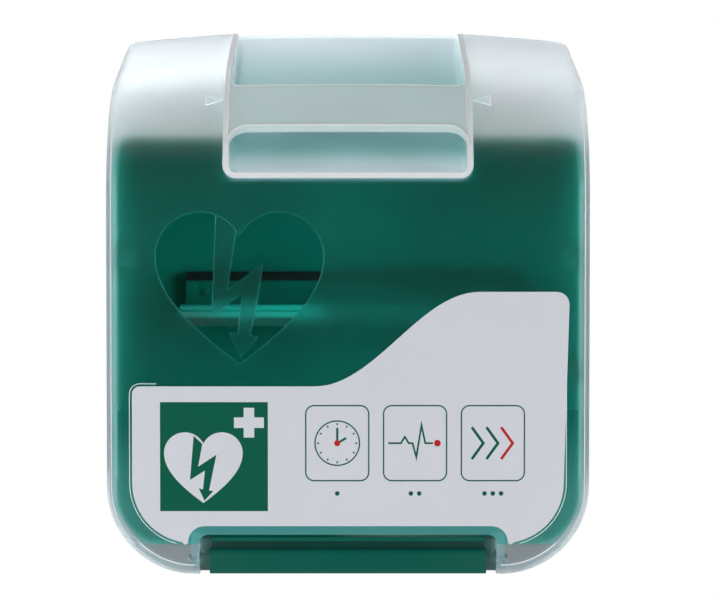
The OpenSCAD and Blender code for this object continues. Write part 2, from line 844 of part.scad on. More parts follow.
module cover() {
  color(frosted)
    difference() {
      cover_shell();
      through(-1, cabinet_d + skirt_side) notch_outline();
      translate([-cut_half_w, at_depth(-1), bottom_z - 1])
        cube([2 * cut_half_w, skirt_bottom + 2, cut_top_z - bottom_z + 1]);
      translate([-cover_w, -wall_gap, bottom_z]) cube([2 * cover_w, far, 2 * far]);
    }
}

// Handle

pocket_r = nose_r - pocket_d;
pocket_centre = [nose_r, nose_z - handle_drop];
pocket_end = [cabinet_d, top_z(cabinet_d, 0, handle_drop) - pocket_step];
pocket_reach = pocket_end - pocket_centre;
pocket_angle = atan2(pocket_reach.y, pocket_reach.x) + acos(pocket_r / norm(pocket_reach));

// Side view of all that lies under the pocket's floor, or under the floor's own lower face
module under_pocket(floor_t) {
  r = pocket_r - floor_t;
  tangent = pocket_centre + r * [cos(pocket_angle), sin(pocket_angle)];
  end = pocket_end - [0, floor_t / sin(pocket_angle)];
  polygon([pocket_centre, [cabinet_d, pocket_centre.y], end, tangent]);
  translate(pocket_centre) circle(r, $fn = 96);
}

module handle_body_section() {
  difference() {
    behind(0, lip_z, handle_drop);
    under_pocket(handle_wall);
    translate([cabinet_d - wall_gap, 0]) square(far);
  }
}

module handle_cavity_section() {
  difference() {
    translate([-far, lip_z + handle_wall]) square(2 * far);
    under_pocket(0);
  }
}

module grip_section() {
  wedge = [for (a = [bar_from, bar_to]) pocket_centre + 2 * nose_r * [-cos(a), sin(a)]];
  bead = nose_point(bar_from, bar_bead_d / 2, handle_drop);
  intersection() {
    difference() {
      behind(0, lip_z, handle_drop);
      behind(bar_t, lip_z, handle_drop);
    }
    polygon([pocket_centre, wedge[0], wedge[1]]);
  }
  translate(bead) circle(d = bar_bead_d);
}

module handle() {
  color(frosted) {
    difference() {
      intersection() {
        across(handle_w) handle_body_section();
        through(-1, cabinet_d) offset_notch();
      }
      across(handle_w - 2 * handle_wall) handle_cavity_section();
    }
    across(handle_w - 2 * handle_wall) grip_section();
  }
}

module offset_notch() {
  half = handle_w / 2;
  translate([-half, lip_z + notch_r]) square([2 * half, far]);
  translate([notch_r - half, lip_z]) square([2 * (half - notch_r), far]);
  for (side = [-1, 1]) translate([side * (half - notch_r), lip_z + notch_r]) circle(notch_r);
}

// Label

label_half = half_w - label_margin;
label_corner_r = corner_r - label_margin - 1.5;
label_round = 9;
label_low_z = bottom_z + label_low;
label_high_z = bottom_z + label_high;
label_notch_z = cut_top_z + 6;
label_notch_r = 15;
label_notch_half = cut_half_w - 4;
swing_steps = 16;
lobe_turn = 70;
notch_turn = 75;

function swing_point(t) = [
  swing_from + (swing_to - swing_from) * t,
  label_low_z + (label_high_z - label_low_z) * (1 - cos(180 * t)) / 2
];

label_outline = concat(
  arc([-corner_x, bottom_z + corner_r], label_corner_r, 180, 180 + lobe_turn, 8),
  arc([-label_notch_half, label_notch_z - label_notch_r], label_notch_r, 90 + notch_turn, 90, 5),
  arc([label_notch_half, label_notch_z - label_notch_r], label_notch_r, 90, 90 - notch_turn, 5),
  arc([corner_x, bottom_z + corner_r], label_corner_r, 360 - lobe_turn, 360, 8),
  arc([label_half - label_round, label_high_z - label_round], label_round, 0, 90, 5),
  [for (i = [swing_steps:-1:0]) swing_point(i / swing_steps)],
  arc([label_round - label_half, label_low_z - label_round], label_round, 90, 180, 5)
);

module label() {
  color([0.88, 0.89, 0.91]) through(-label_t, 0) polygon(label_outline);
}

base_tray();
hinge_bar();
hinge_screws();
hinge_rod();
rod_caps();
device_shelf();
shelf_mat();
shelf_screws();
catch_magnets();
reed_switch();
alarm_housing();
alarm_screws();
alarm_board();
sounder();
battery_cradle();
battery_contacts();
batteries();
alarm_lid();
lid_screws();
battery_door();
power_slider();
cover();
hinge_ears();
handle();
label();
cover_brackets();
catch_plates();
switch_magnet();
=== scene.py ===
import json
import math

import bmesh
import bpy
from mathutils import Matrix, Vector
from mathutils.geometry import delaunay_2d_cdt

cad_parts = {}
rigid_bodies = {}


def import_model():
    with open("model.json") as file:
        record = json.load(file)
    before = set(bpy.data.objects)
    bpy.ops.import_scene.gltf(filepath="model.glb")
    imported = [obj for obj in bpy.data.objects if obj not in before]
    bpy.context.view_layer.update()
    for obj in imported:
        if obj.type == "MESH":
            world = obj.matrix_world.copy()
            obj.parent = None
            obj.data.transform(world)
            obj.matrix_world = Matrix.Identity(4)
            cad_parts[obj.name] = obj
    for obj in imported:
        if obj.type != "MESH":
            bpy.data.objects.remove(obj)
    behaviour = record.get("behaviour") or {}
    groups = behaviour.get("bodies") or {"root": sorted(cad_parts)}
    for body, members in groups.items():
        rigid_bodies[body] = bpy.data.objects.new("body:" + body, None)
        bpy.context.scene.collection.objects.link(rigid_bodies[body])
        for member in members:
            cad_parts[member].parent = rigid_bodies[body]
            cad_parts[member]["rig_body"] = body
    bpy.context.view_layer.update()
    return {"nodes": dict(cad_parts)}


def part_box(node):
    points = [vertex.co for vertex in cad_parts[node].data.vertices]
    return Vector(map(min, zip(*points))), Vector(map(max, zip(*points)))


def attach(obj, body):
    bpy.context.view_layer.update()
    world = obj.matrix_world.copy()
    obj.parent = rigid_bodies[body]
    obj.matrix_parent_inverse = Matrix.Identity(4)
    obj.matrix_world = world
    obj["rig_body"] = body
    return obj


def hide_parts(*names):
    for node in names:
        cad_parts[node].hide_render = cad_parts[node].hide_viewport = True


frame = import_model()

# Studio: a long-lens camera almost level with the cabinet, which hangs as it does on its wall.
# The surround is white behind and dim in front, three large soft lamps stand above and to the sides,
# and a pale floor lies well below.


def linked(name, data):
    """A new object in the scene."""
    made = bpy.data.objects.new(name, data)
    bpy.context.scene.collection.objects.link(made)
    return made


camera_data = bpy.data.cameras.new("camera")
camera_data.lens = 126.2
camera_data.sensor_width = 36
camera_data.shift_x = 0.014
camera = linked("camera", camera_data)
camera.location = (0, -2.155, 0.0756)
camera.rotation_euler = (math.radians(87.72), 0, 0)
bpy.context.scene.camera = camera
bpy.context.scene.view_settings.view_transform = "Standard"


class Value:
    """A socket in a node tree. Arithmetic on it adds Math nodes, and node() adds any other kind."""

    def __init__(self, tree, socket=None):
        self.tree = tree
        self.socket = socket

    def node(self, kind, sockets, output=0, **settings):
        """Adds a node: the values or links of its sockets, the output to take, and its settings."""
        made = self.tree.nodes.new(kind)
        for name, value in settings.items():
            setattr(made, name, value)
        for name, value in sockets.items():
            self.feed(made.inputs[name], value)
        return Value(self.tree, made.outputs[output])

    def feed(self, socket, value):
        if isinstance(value, list):
            for each in value:
                self.tree.links.new(each.socket, socket)
        elif isinstance(value, Value):
            self.tree.links.new(value.socket, socket)
        else:
            socket.default_value = value

    def maths(self, operation, first, second):
        return self.node("ShaderNodeMath", {0: first, 1: second}, operation=operation)

    def fade(self, start, end, low, high):
        """Goes smoothly from one level to another as the value rises."""
        levels = {"Value": self, "From Min": start, "From Max": end, "To Min": low, "To Max": high}
        return self.node("ShaderNodeMapRange", levels, interpolation_type="SMOOTHSTEP")

    def blend(self, first, second):
        """Goes from one colour to another as the value goes from 0 to 1."""
        return self.node("ShaderNodeMix", {0: self, 6: first, 7: second}, 2, data_type="RGBA")

    def axis(self, name):
        """One axis of a place or a direction."""
        return self.node("ShaderNodeSeparateXYZ", {"Vector": self}, name)

    def vector(self, **axes):
        return self.node("ShaderNodeCombineXYZ", axes)

    def __add__(self, other):
        return self.maths("ADD", self, other)

    def __sub__(self, other):
        return self.maths("SUBTRACT", self, other)

    def __rsub__(self, other):
        return self.maths("SUBTRACT", other, self)

    def __mul__(self, other):
        return self.maths("MULTIPLY", self, other)

    def __truediv__(self, other):
        return self.maths("DIVIDE", self, other)

    __radd__ = __add__


world = bpy.data.worlds.new("studio")
world.use_nodes = True
bpy.context.scene.world = world
sky = Value(world.node_tree)
seen = sky.node("ShaderNodeLightPath", {}, "Is Camera Ray")
direction = sky.node("ShaderNodeTexCoord", {}, "Generated")
aside, behind, above = [direction.axis(name) for name in "XYZ"]
wall_glow = behind.fade(0.05, 0.6, 0.03, 1) * above.fade(-0.12, 0.15, 0.3, 0.62)
surround = wall_glow * aside.fade(-0.4, 0.6, 1, 0.75) + above.fade(0.3, 0.9, 0, 0.2)
background = world.node_tree.nodes["Background"]
background.inputs["Color"].default_value = (1, 1, 1, 1)
sky.feed(background.inputs["Strength"], sky.maths("MAXIMUM", surround, seen))


def soft_lamp(name, place, size, watts, aim=(0, -0.1, 0)):
    """A large soft box turned towards the object."""
    lamp = bpy.data.lights.new(name, "AREA")
    lamp.shape = "RECTANGLE"
    lamp.size, lamp.size_y = size
    lamp.energy = watts
    holder = linked(name, lamp)
    holder.location = place
    holder.rotation_euler = (Vector(aim) - Vector(place)).to_track_quat("-Z", "Y").to_euler()
    holder.visible_camera = False


soft_lamp("top_light", (-0.45, 0.5, 1.4), (1.2, 1.0), 5.8, (0, 0.05, 0.15))
soft_lamp("left_light", (-1.9, -1.5, 0.1), (1.0, 1.4), 29)
soft_lamp("right_light", (1.9, -1.6, 0.0), (1.0, 1.4), 26)

floor_mesh = bpy.data.meshes.new("floor")
floor_half = 2.5
floor_z = -0.8
corners = [(-1, -1), (1, -1), (1, 1), (-1, 1)]
floor_mesh.from_pydata([(floor_half * x, floor_half * y, floor_z) for x, y in corners], [], [(0, 1, 2, 3)])
floor_paint = bpy.data.materials.new("floor_paint")
floor_paint.use_nodes = True
floor_coat = floor_paint.node_tree.nodes["Principled BSDF"].inputs
floor_coat["Base Color"].default_value = (0.86, 0.86, 0.87, 1)
floor_coat["Roughness"].default_value = 0.7
floor_mesh.materials.append(floor_paint)
floor = linked("floor", floor_mesh)

# Tray: the green back shell, one deep moulding with a roof, screwed to the wall through four holes that
# thin webs close on the inner face. Its rim keeps an even distance from the cover's face, and its roof
# stops short of the handle's pocket, under which a curved well lies.


def made_of(name, colour, roughness, grain=900, relief=0.15, tone=0.08, rougher=None, **constants):
    """A finish: a clouded colour and a fine grain in its gloss and surface, rougher up a span if asked."""
    material = bpy.data.materials.new(name)
    material.use_nodes = True
    shade = Value(material.node_tree)
    surface = material.node_tree.nodes["Principled BSDF"].inputs
    for socket, value in constants.items():
        surface[socket.replace("_", " ")].default_value = value
    place = shade.node("ShaderNodeTexCoord", {}, "Object")
    cloud = shade.node("ShaderNodeTexNoise", {"Vector": place, "Scale": 22, "Detail": 3}, "Fac")
    grains = shade.node("ShaderNodeTexNoise", {"Vector": place, "Scale": grain, "Detail": 2}, "Fac")
    dark = (*[c * (1 - tone) for c in colour], 1)
    light = (*[min(1, c * (1 + tone)) for c in colour], 1)
    shade.feed(surface["Base Color"], cloud.blend(dark, light))
    if rougher:
        roughness = place.axis("Z").fade(*rougher[:2], roughness, rougher[2])
    shade.feed(surface["Roughness"], roughness + (cloud - 0.5) * 0.1 + (grains - 0.5) * 0.12)
    grain_relief = {"Height": grains, "Strength": relief, "Distance": 0.0003}
    shade.feed(surface["Normal"], shade.node("ShaderNodeBump", grain_relief, "Normal"))
    return material


def steps(start, end, count):
    """Even steps from one value to another, with both ends."""
    return [start + (end - start) * i / count for i in range(count + 1)]


def arc(x, z, radius, start, end, count):
    """Points along an arc, in degrees, each with the direction that points out of its centre."""
    turns = [math.radians(turn) for turn in steps(start, end, count)]
    return [(x + radius * math.cos(t), z + radius * math.sin(t), math.cos(t), math.sin(t)) for t in turns]


def curve(*turn):
    """The points of an arc without their directions."""
    return [point[:2] for point in arc(*turn)]


def inset(path, by):
    """The points of a path with directions, drawn in by a way."""
    return [(x - nx * by, z - nz * by) for x, z, nx, nz in path]


def strip(bm, rows, closed=False):
    """Joins neighbouring rows of points with quads."""
    made = [[bm.verts.new(point) for point in row] for row in rows]
    pairs = list(zip(made, made[1:] + made[:1]))
    for a, b in pairs if closed else pairs[:-1]:
        for i in range(len(a) - 1):
            bm.faces.new((a[i], a[i + 1], b[i + 1], b[i]))


def fill(bm, place, loops, inner=()):
    """Fills the first outline with triangles. A later outline gives its inside its own finish, or a hole."""
    points = []
    faces = []
    for outline, finish in loops:
        turning = sum(a[0] * b[1] - b[0] * a[1] for a, b in zip(outline, outline[1:] + outline[:1]))
        faces.append(list(range(len(points), len(points) + len(outline))))
        points += [Vector(p[:2]) for p in (outline if turning > 0 else outline[::-1])]
    points += [Vector(p) for p in inner]
    spots, _, triangles, _, _, owners = delaunay_2d_cdt(points, [], faces, 1, 1e-7)
    made = [bm.verts.new(place(*spot)) for spot in spots]
    for triangle, owner in zip(triangles, owners):
        finish = loops[max(owner)][1] if owner else None
        if finish is not None:
            face = bm.faces.new([made[i] for i in triangle])
            face.material_index = finish


def outward(bm):
    """Welds a sheet and turns its faces away from its middle."""
    bmesh.ops.remove_doubles(bm, verts=bm.verts, dist=2e-6)
    bmesh.ops.recalc_face_normals(bm, faces=bm.faces)
    spread = [v.co for v in bm.verts]
    middle = sum(spread, Vector()) / len(spread)
    if sum(f.calc_area() * f.normal.dot(f.calc_center_median() - middle) for f in bm.faces) < 0:
        bmesh.ops.reverse_faces(bm, faces=bm.faces)


def settle(made, smooth, body, nodes):
    """Makes an object plain mesh, smooth apart from edges sharper than an angle, and puts it on a body."""
    bpy.context.view_layer.update()
    mesh = bpy.data.meshes.new_from_object(made.evaluated_get(bpy.context.evaluated_depsgraph_get()))
    made.modifiers.clear()
    made.data = mesh
    mesh.shade_smooth()
    mesh.set_sharp_from_angle(angle=math.radians(smooth))
    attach(made, body)
    if nodes:
        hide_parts(*nodes)


def piece(
    name, bm, finishes, body, slot, nodes=(), wall=0, side=-1, inner=0, rim=0, ease=0, smooth=35, shadow=True,
):
    """Makes a finished piece of a mesh: its wall, its eased edges, its finishes and its place on a body."""
    mesh = bpy.data.meshes.new(name)
    bm.to_mesh(mesh)
    bm.free()
    made = linked(name, mesh)
    made.visible_shadow = shadow
    for finish in finishes:
        mesh.materials.append(finish)
    if wall:
        shell = made.modifiers.new("wall", "SOLIDIFY")
        shell.thickness = wall
        shell.offset = side
        shell.use_even_offset = True
        shell.material_offset = inner
        shell.material_offset_rim = rim
    if ease:
        bevel = made.modifiers.new("ease", "BEVEL")
        bevel.width = ease
        bevel.segments = 2
        bevel.limit_method = "ANGLE"
        bevel.angle_limit = math.radians(40)
    settle(made, smooth, body, nodes)


cover_low, cover_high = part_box("cover")
front_y = cover_low.y
nose_r = 0.115
nose_z = 0.079
tray_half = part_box("base_tray")[1].x
tray_floor_z = -0.198
tray_roof_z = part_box("base_tray")[1].z + 0.005
tray_depth = -front_y
tray_corner_r = 0.038
tray_top_r = 0.012
tray_back_r = 0.006
tray_wall = 0.003
rim_inset = 0.033
pocket_room_half = 0.102
pocket_room_depth = 0.066
wall_screw_spots = [(x, z) for x in (-0.12, 0.12) for z in (-0.09, 0.09)]
wall_screw_d = 0.0065
green_plastic = made_of("green_plastic", (0.001, 0.11, 0.078), 0.42, Specular_IOR_Level=0.2)
green_glint = (0.1, 1.0, 0.9, 1)
tray_green = made_of(
    "tray_green", (0.001, 0.20, 0.14), 0.5, Specular_IOR_Level=0.1, Specular_Tint=green_glint,
)


def on_front(x, z, depth):
    """A point at a depth behind the cabinet's front plane."""
    return Vector((x, front_y + depth, z))


def fill_at(bm, depth, loops, inner=()):
    """Fills outlines on a plane at a depth."""
    fill(bm, lambda x, z: on_front(x, z, depth), loops, inner)


def rim_depth(x, z):
    """Depth of the tray's rim, which keeps an even distance from the cover's round nose."""
    if z > tray_roof_z - tray_top_r / 2 and abs(x) < pocket_room_half + 0.001:
        return pocket_room_depth
    rise = max(0, z - nose_z)
    return nose_r - math.sqrt((nose_r - rim_inset) ** 2 - rise**2)


side_x = tray_half - tray_corner_r
top_x = tray_half - tray_top_r
right_side = [(tray_half, nose_z + i * 0.005, 1, 0) for i in range(7)]
half_roof = [(pocket_room_half + gap, tray_roof_z, 0, 1) for gap in (0.002, 0)]
tray_path = arc(side_x, tray_floor_z + tray_corner_r, tray_corner_r, -90, 0, 18) + right_side
tray_path += arc(top_x, tray_roof_z - tray_top_r, tray_top_r, 0, 90, 8) + half_roof
tray_path += [(-x, z, -nx, nz) for x, z, nx, nz in tray_path[::-1]]
bend = [math.radians(15 * i) for i in range(7)]
tray_ring = [(tray_back_r * (1 - math.cos(t)), tray_depth + tray_back_r * (math.sin(t) - 1)) for t in bend]
bm = bmesh.new()
strip(
    bm,
    [
        [on_front(x, z, rim_depth(x, z))] + [on_front(x - nx * o, z - nz * o, d) for o, d in tray_ring]
        for x, z, nx, nz in tray_path
    ],
    closed=True,
)
screw_holes = [(arc(x, z, wall_screw_d / 2, 0, 345, 23), None) for x, z in wall_screw_spots]
back_inset = tray_back_r + 0.0015
grid_margin = 0.02
back_grid = inset(tray_path, back_inset)
back_grid += [p for x, z in wall_screw_spots for p in curve(x, z, wall_screw_d, 0, 330, 11)]
back_grid += [
    (x, z)
    for x in steps(grid_margin - tray_half, tray_half - grid_margin, 16)
    for z in steps(tray_floor_z + grid_margin, tray_roof_z - grid_margin, 14)
    if all(math.dist((x, z), spot) > 2 * wall_screw_d for spot in wall_screw_spots)
]
fill_at(bm, tray_depth, [(inset(tray_path, tray_back_r), 0)] + screw_holes, back_grid)
outward(bm)
of_tray = ("base", "green_shell", ["base_tray"])
piece("tray", bm, [tray_green], *of_tray, wall=tray_wall, ease=0.0008)
web_thick = 0.0004
bm = bmesh.new()
for hole, _ in screw_holes:
    fill_at(bm, tray_depth - tray_wall, [(hole, 0)])
bmesh.ops.recalc_face_normals(bm, faces=bm.faces)
piece("hole_webs", bm, [tray_green], *of_tray, wall=web_thick, side=0)
well_r = 0.066
well_turns = [math.radians(turn) for turn in range(40, 10, -2)]
well_arc = [(nose_r - well_r * math.cos(t), nose_z + well_r * math.sin(t)) for t in well_turns]
bm = bmesh.new()
strip(bm, [[on_front(x, z, d) for d, z in well_arc] for x in (-pocket_room_half, 0, pocket_room_half)])
bmesh.ops.recalc_face_normals(bm, faces=bm.faces)
piece("handle_well", bm, [tray_green], *of_tray, wall=0.002, side=0, ease=0.0005)

# Bosses and posts in the tray, moulded with it: a boss with a blind seat for each catch magnet, posts
# with pilot holes for the shelf's and the alarm's screws, and four more under the floor for the hinge.


def bored(bm, outline, bores, front, back, seat):
    """A block between two depths, with round blind bores from its front down to a seat."""
    fill_at(bm, front, [(outline, 0)] + [(bore, None) for bore in bores])
    fill_at(bm, back, [(outline, 0)])
    walls = [(outline, back)] + [(bore, seat) for bore in bores]
    for loop, end in walls:
        strip(bm, [[on_front(*p[:2], d) for p in loop + loop[:1]] for d in (front, end)])
    for bore in bores:
        fill_at(bm, seat, [(bore, 0)])


def oblong(side_a, side_b, low, high):
    """The corners of an upright rectangle, with its sides in either order."""
    left, right = sorted((side_a, side_b))
    return [(left, low), (right, low), (right, high), (left, high)]


magnet_x = 0.1735
magnet_z = 0.030
magnet_d = 0.012
magnet_front = 0.03425
magnet_thick = 0.004
boss_half = 0.0085
boss_floor = 0.005
magnet_fit = 0.0001
magnet_seat = magnet_front + magnet_thick
bm = bmesh.new()
for side in (-1, 1):
    low, high = magnet_z - boss_half, magnet_z + boss_half
    block = oblong(side * (magnet_x - boss_half), side * (tray_half - tray_wall / 2), low, high)
    seat_hole = arc(side * magnet_x, magnet_z, magnet_d / 2 + magnet_fit, 0, 350, 35)
    bored(bm, block, [seat_hole], magnet_front, magnet_seat + boss_floor, magnet_seat)
outward(bm)
piece("magnet_bosses", bm, [green_plastic], *of_tray, ease=0.0005)


def grower(name, sizes):
    """Starts a geometry tree that grows something on a mesh's points, with a named input for each size."""
    tree = bpy.data.node_groups.new(name, "GeometryNodeTree")
    tree.interface.new_socket("Geometry", in_out="OUTPUT", socket_type="NodeSocketGeometry")
    kinds = {"Geometry": "Geometry", "Finish": "Material", "Turn": "Vector", **dict.fromkeys(sizes, "Float")}
    for socket, kind in kinds.items():
        tree.interface.new_socket(socket, in_out="INPUT", socket_type="NodeSocket" + kind)
    entry = tree.nodes.new("NodeGroupInput").outputs
    given = {socket.name: Value(tree, socket) for socket in entry if socket.name}
    return Value(tree), given, *[given[size] for size in sizes]


def ripen(start, given, shape):
    """Ends a tree: real geometry with its finish on it."""
    real = start.node("GeometryNodeRealizeInstances", {"Geometry": shape})
    done = start.node("GeometryNodeSetMaterial", {"Geometry": real, "Material": given["Finish"]})
    start.feed(start.tree.nodes.new("NodeGroupOutput").inputs["Geometry"], done)
    return start.tree


def scattered(start, given, shape):
    """Ends a tree with a shape on each point, turned as asked."""
    turn = start.node("FunctionNodeEulerToRotation", {"Euler": given["Turn"]})
    points = {"Points": given["Geometry"], "Instance": shape, "Rotation": turn}
    return ripen(start, given, start.node("GeometryNodeInstanceOnPoints", points))


def grown(name, tree, spots, sizes, finish, body, slot, nodes=(), turn=(0, 0, 0), edges=(), shadow=True):
    """Runs a tree on a list of points, and keeps the result as a plain mesh on a body."""
    mesh = bpy.data.meshes.new(name)
    mesh.from_pydata(spots, edges, [])
    made = linked(name, mesh)
    made.visible_shadow = shadow
    growth = made.modifiers.new(name, "NODES")
    growth.node_group = tree
    given = {"Finish": finish, "Turn": turn, **sizes}
    for socket in tree.interface.items_tree:
        if socket.name in given:
            growth[socket.identifier] = given[socket.name]
    settle(made, 35, body, nodes)


def moved(start, shape, place):
    return start.node("GeometryNodeTransform", {"Geometry": shape, "Translation": place})


def cylinder(start, diameter, length, low, sides=32):
    """A round bar along Z from a height."""
    parts = {"Vertices": sides, "Radius": diameter * 0.5, "Depth": length}
    bar = start.node("GeometryNodeMeshCylinder", parts, "Mesh")
    return moved(start, bar, start.vector(Z=low + length * 0.5))


def without(start, body, cutters):
    return start.node("GeometryNodeMeshBoolean", {0: body, 1: cutters}, operation="DIFFERENCE")


post_sockets = ["Diameter", "Bore", "Length", "End"]
start, given, post_across, bore_across, length, bore_end = grower("post", post_sockets)
bar = cylinder(start, post_across, length, 0)
bore = cylinder(start, bore_across, length, bore_end)
post_tree = scattered(start, given, without(start, bar, [bore]))

to_front = (math.pi / 2, 0, 0)
post_sizes = {"Diameter": 0.010, "Bore": 0.004, "Length": 0.0085, "End": 0.001}
post_back = tray_depth - tray_wall + 0.0005
shelf_post_spots = [(-0.122, -0.003), (0.122, -0.003)]
alarm_post_spots = [(0.020, -0.113), (0.100, -0.113)]
post_spots = [on_front(x, z, post_back) for x, z in shelf_post_spots + alarm_post_spots]
grown("tray_posts", post_tree, post_spots, post_sizes, green_plastic, *of_tray, to_front)
hinge_screw_depth = 0.048
hinge_screw_columns = [-0.09, -0.03, 0.03, 0.09]
hinge_post_z = tray_floor_z - 0.005
hinge_post_spots = [on_front(x, hinge_post_z, hinge_screw_depth) for x in hinge_screw_columns]
hinge_post_sizes = {**post_sizes, "Length": 0.0065}
grown("hinge_posts", post_tree, hinge_post_spots, hinge_post_sizes, green_plastic, *of_tray)

# Hinge: a long green moulding with a rounded roll, a groove and a sill, screwed down to the tray's floor.
# A steel rod runs through its roll and the cover's ears, with a pressed steel cap on each end.
# The roll ends in grey bushes that the ears run against.


def eased(node, name, finishes, slot, ease, pick=None, shadow=True):
    """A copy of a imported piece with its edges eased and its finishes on, which takes the piece's place."""
    source = frame["nodes"][node]
    bm = bmesh.new()
    bm.from_mesh(source.data)
    bmesh.ops.remove_doubles(bm, verts=bm.verts, dist=1e-6)
    bmesh.ops.dissolve_limit(bm, angle_limit=math.radians(0.5), verts=bm.verts, edges=bm.edges)
    for face in bm.faces:
        face.material_index = pick(face) if pick else 0
    piece(name, bm, finishes, source["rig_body"], slot, [node], ease=ease, shadow=shadow)


roll_half = 0.1085
groove_low, groove_high = -0.1985, -0.1915
bush_plastic = made_of("bush_plastic", (0.025, 0.095, 0.085), 0.5)
steel = made_of("steel", (0.60, 0.61, 0.63), 0.3, grain=2000, relief=0.05, tone=0.05, Metallic=1.0)


def hinge_finish(face):
    """The bushes past the roll's ends are grey, and the groove has painted shade under the sill."""
    spot = face.calc_center_median()
    if abs(spot.x) > roll_half:
        return 1
    return 2 if groove_low < spot.z < groove_high and face.normal.y < -0.9 else 0


# A darker green for the hinge's groove: painted shade under the sill.
groove_painted_shade = made_of("groove_painted_shade", (0.0006, 0.05, 0.036), 0.5, Specular_IOR_Level=0.2)
hinge_finishes = [green_plastic, bush_plastic, groove_painted_shade]
eased("hinge_bar", "hinge_moulding", hinge_finishes, "green_shell", 0.0006, hinge_finish)
web_low, web_high = -0.206, -0.1895
web_front, web_back = 0.007, 0.0195
web_lap, web_reach = 0.005, 0.0075
bm = bmesh.new()
for side in (-1, 1):
    web = oblong(side * (roll_half - web_lap), side * (roll_half + web_reach), web_low, web_high)
    bored(bm, web, [], web_front, web_back, web_back)
outward(bm)
piece("bush_webs", bm, [bush_plastic], "base", "green_shell", ["hinge_bar"], ease=0.002)
eased("hinge_rod", "steel_rod", [steel], "steel", 0.0004)
eased("rod_caps", "pressed_caps", [steel], "steel", 0.0004)

start, given, head, height, shank, length = grower("screw", ["Head", "Head Height", "Shank", "Length"])
crown_scale = start.vector(X=head * 0.58, Y=head * 0.58, Z=height)
ball = start.node("GeometryNodeMeshUVSphere", {"Segments": 32, "Rings": 16, "Radius": 1.0}, "Mesh")
dome = start.node("GeometryNodeTransform", {"Geometry": ball, "Scale": crown_scale})
blank = cylinder(start, head, height * 1.1, height * -1.1)
pan = start.node("GeometryNodeMeshBoolean", {1: [dome, blank]}, operation="INTERSECT")
recess_place = start.vector(Z=height * -1)
arms = []
for along, across in ("XY", "YX"):
    arm_size = start.vector(**{along: head * 0.5, across: head / 6, "Z": 0.002})
    arm = start.node("GeometryNodeMeshCube", {"Size": arm_size}, "Mesh")
    arms.append(moved(start, arm, recess_place))
core = cylinder(start, shank * 0.84, length, 0, 16)
thread_pitch = 0.0016
thread_r = shank * 0.42
turns = {"Resolution": 12, "Rotations": length / thread_pitch, "Height": length}
turns.update({"Start Radius": thread_r, "End Radius": thread_r})
helix = start.node("GeometryNodeCurveSpiral", turns)


def tube(start, line, radius, sides):
    """A closed tube along a curve."""
    ring = start.node("GeometryNodeCurvePrimitiveCircle", {"Resolution": sides, "Radius": radius})
    parts = {"Curve": line, "Profile Curve": ring, "Fill Caps": True}
    return start.node("GeometryNodeCurveToMesh", parts)


thread = tube(start, helix, shank * 0.08, 4)
whole = start.node("GeometryNodeJoinGeometry", {"Geometry": [without(start, pan, arms), core, thread]})
screw_tree = scattered(start, given, whole)


def screws(name, spots, length, turn, node, finish=steel):
    """Pan head screws with a cross recess, their heads seated on the spots."""
    sizes = {"Head": 0.0075, "Head Height": 0.0024, "Shank": 0.0038, "Length": length}
    grown(name, screw_tree, spots, sizes, finish, "base", "steel", [node], turn)


downwards = (math.pi, 0, 0)
hinge_seat_z = tray_floor_z + 2 * tray_wall
hinge_seats = [on_front(x, hinge_seat_z, hinge_screw_depth) for x in hinge_screw_columns]
screws("hinge_fixings", hinge_seats, 0.008, downwards, "hinge_screws")

# Shelf: a green moulding with a rolled front lip, held to two posts by screws through its back flange.
# A black rubber mat with raised ribs lies in it and keeps the device from sliding. A black strip of U
# section over the flange's top is a dark sheet put where the shadow line above the flange falls, painted
# shade, and the lip's lighter green is a painted highlight with painted shade on its face below.
shelf_seat = 0.182
shelf_t = 0.003
lip_back = 0.105
# A lighter green for the shelf's rolled lip: a painted highlight.
lip_painted_light = made_of("lip_painted_light", (0.004, 0.32, 0.25), 0.2, relief=0.05, Specular_IOR_Level=0.6)


def overlaid(finish, colour, mask):
    """Lays a second colour over a finish where a mask, worked out from the place, lets it through."""
    shade = Value(finish.node_tree)
    ground = finish.node_tree.nodes["Principled BSDF"].inputs["Base Color"]
    plain = Value(shade.tree, ground.links[0].from_socket)
    place = shade.node("ShaderNodeTexCoord", {}, "Object")
    shade.feed(ground, mask(place).blend(plain, (*colour, 1)))
    return finish


past_low, past_high = (-0.4, -0.3), (0.3, 0.4)


def deepened(finish, colour, rise=past_low, fall=past_high, axis="Z"):
    """Deepens a finish's colour between two places along an axis, or on past the object's end."""

    def between(place):
        along = place.axis(axis)
        return along.fade(*rise, 0, 1) * along.fade(*fall, 1, 0)

    overlaid(finish, colour, between)


def shelf_finish(face):
    """The lip takes a lighter green, a painted highlight, and the flange is as the tray."""
    return int(face.calc_center_median().y < front_y + lip_back)


# The painted highlight fades to a darker green towards the right, and the lip's face below the roll is
# painted darker, painted shade.
deepened(lip_painted_light, (0.001, 0.13, 0.095), (-0.035, -0.010), axis="X")
deepened(lip_painted_light, (0.001, 0.08, 0.055), fall=(-0.0225, -0.0185))
eased("device_shelf", "shelf_moulding", [tray_green, lip_painted_light], "green_shell", 0.0006, shelf_finish)
to_wall = (-math.pi / 2, 0, 0)
shelf_seats = [on_front(x, z, shelf_seat) for x, z in shelf_post_spots]
screws("shelf_fixings", shelf_seats, 0.010, to_wall, "shelf_screws", tray_green)
mat_rubber = made_of(
    "mat_rubber", (0.004, 0.016, 0.014), 0.75, grain=1500, relief=0.4, Specular_IOR_Level=0.15,
)
eased("shelf_mat", "rubber_mat", [mat_rubber], "rubber_mat", 0.0005)
start, given, thick, length = grower("bars", ["Thickness", "Length"])
bar = cylinder(start, thick, length, length * -0.5, 12)
bar_tree = scattered(start, given, bar)
sideways = (0, math.pi / 2, 0)
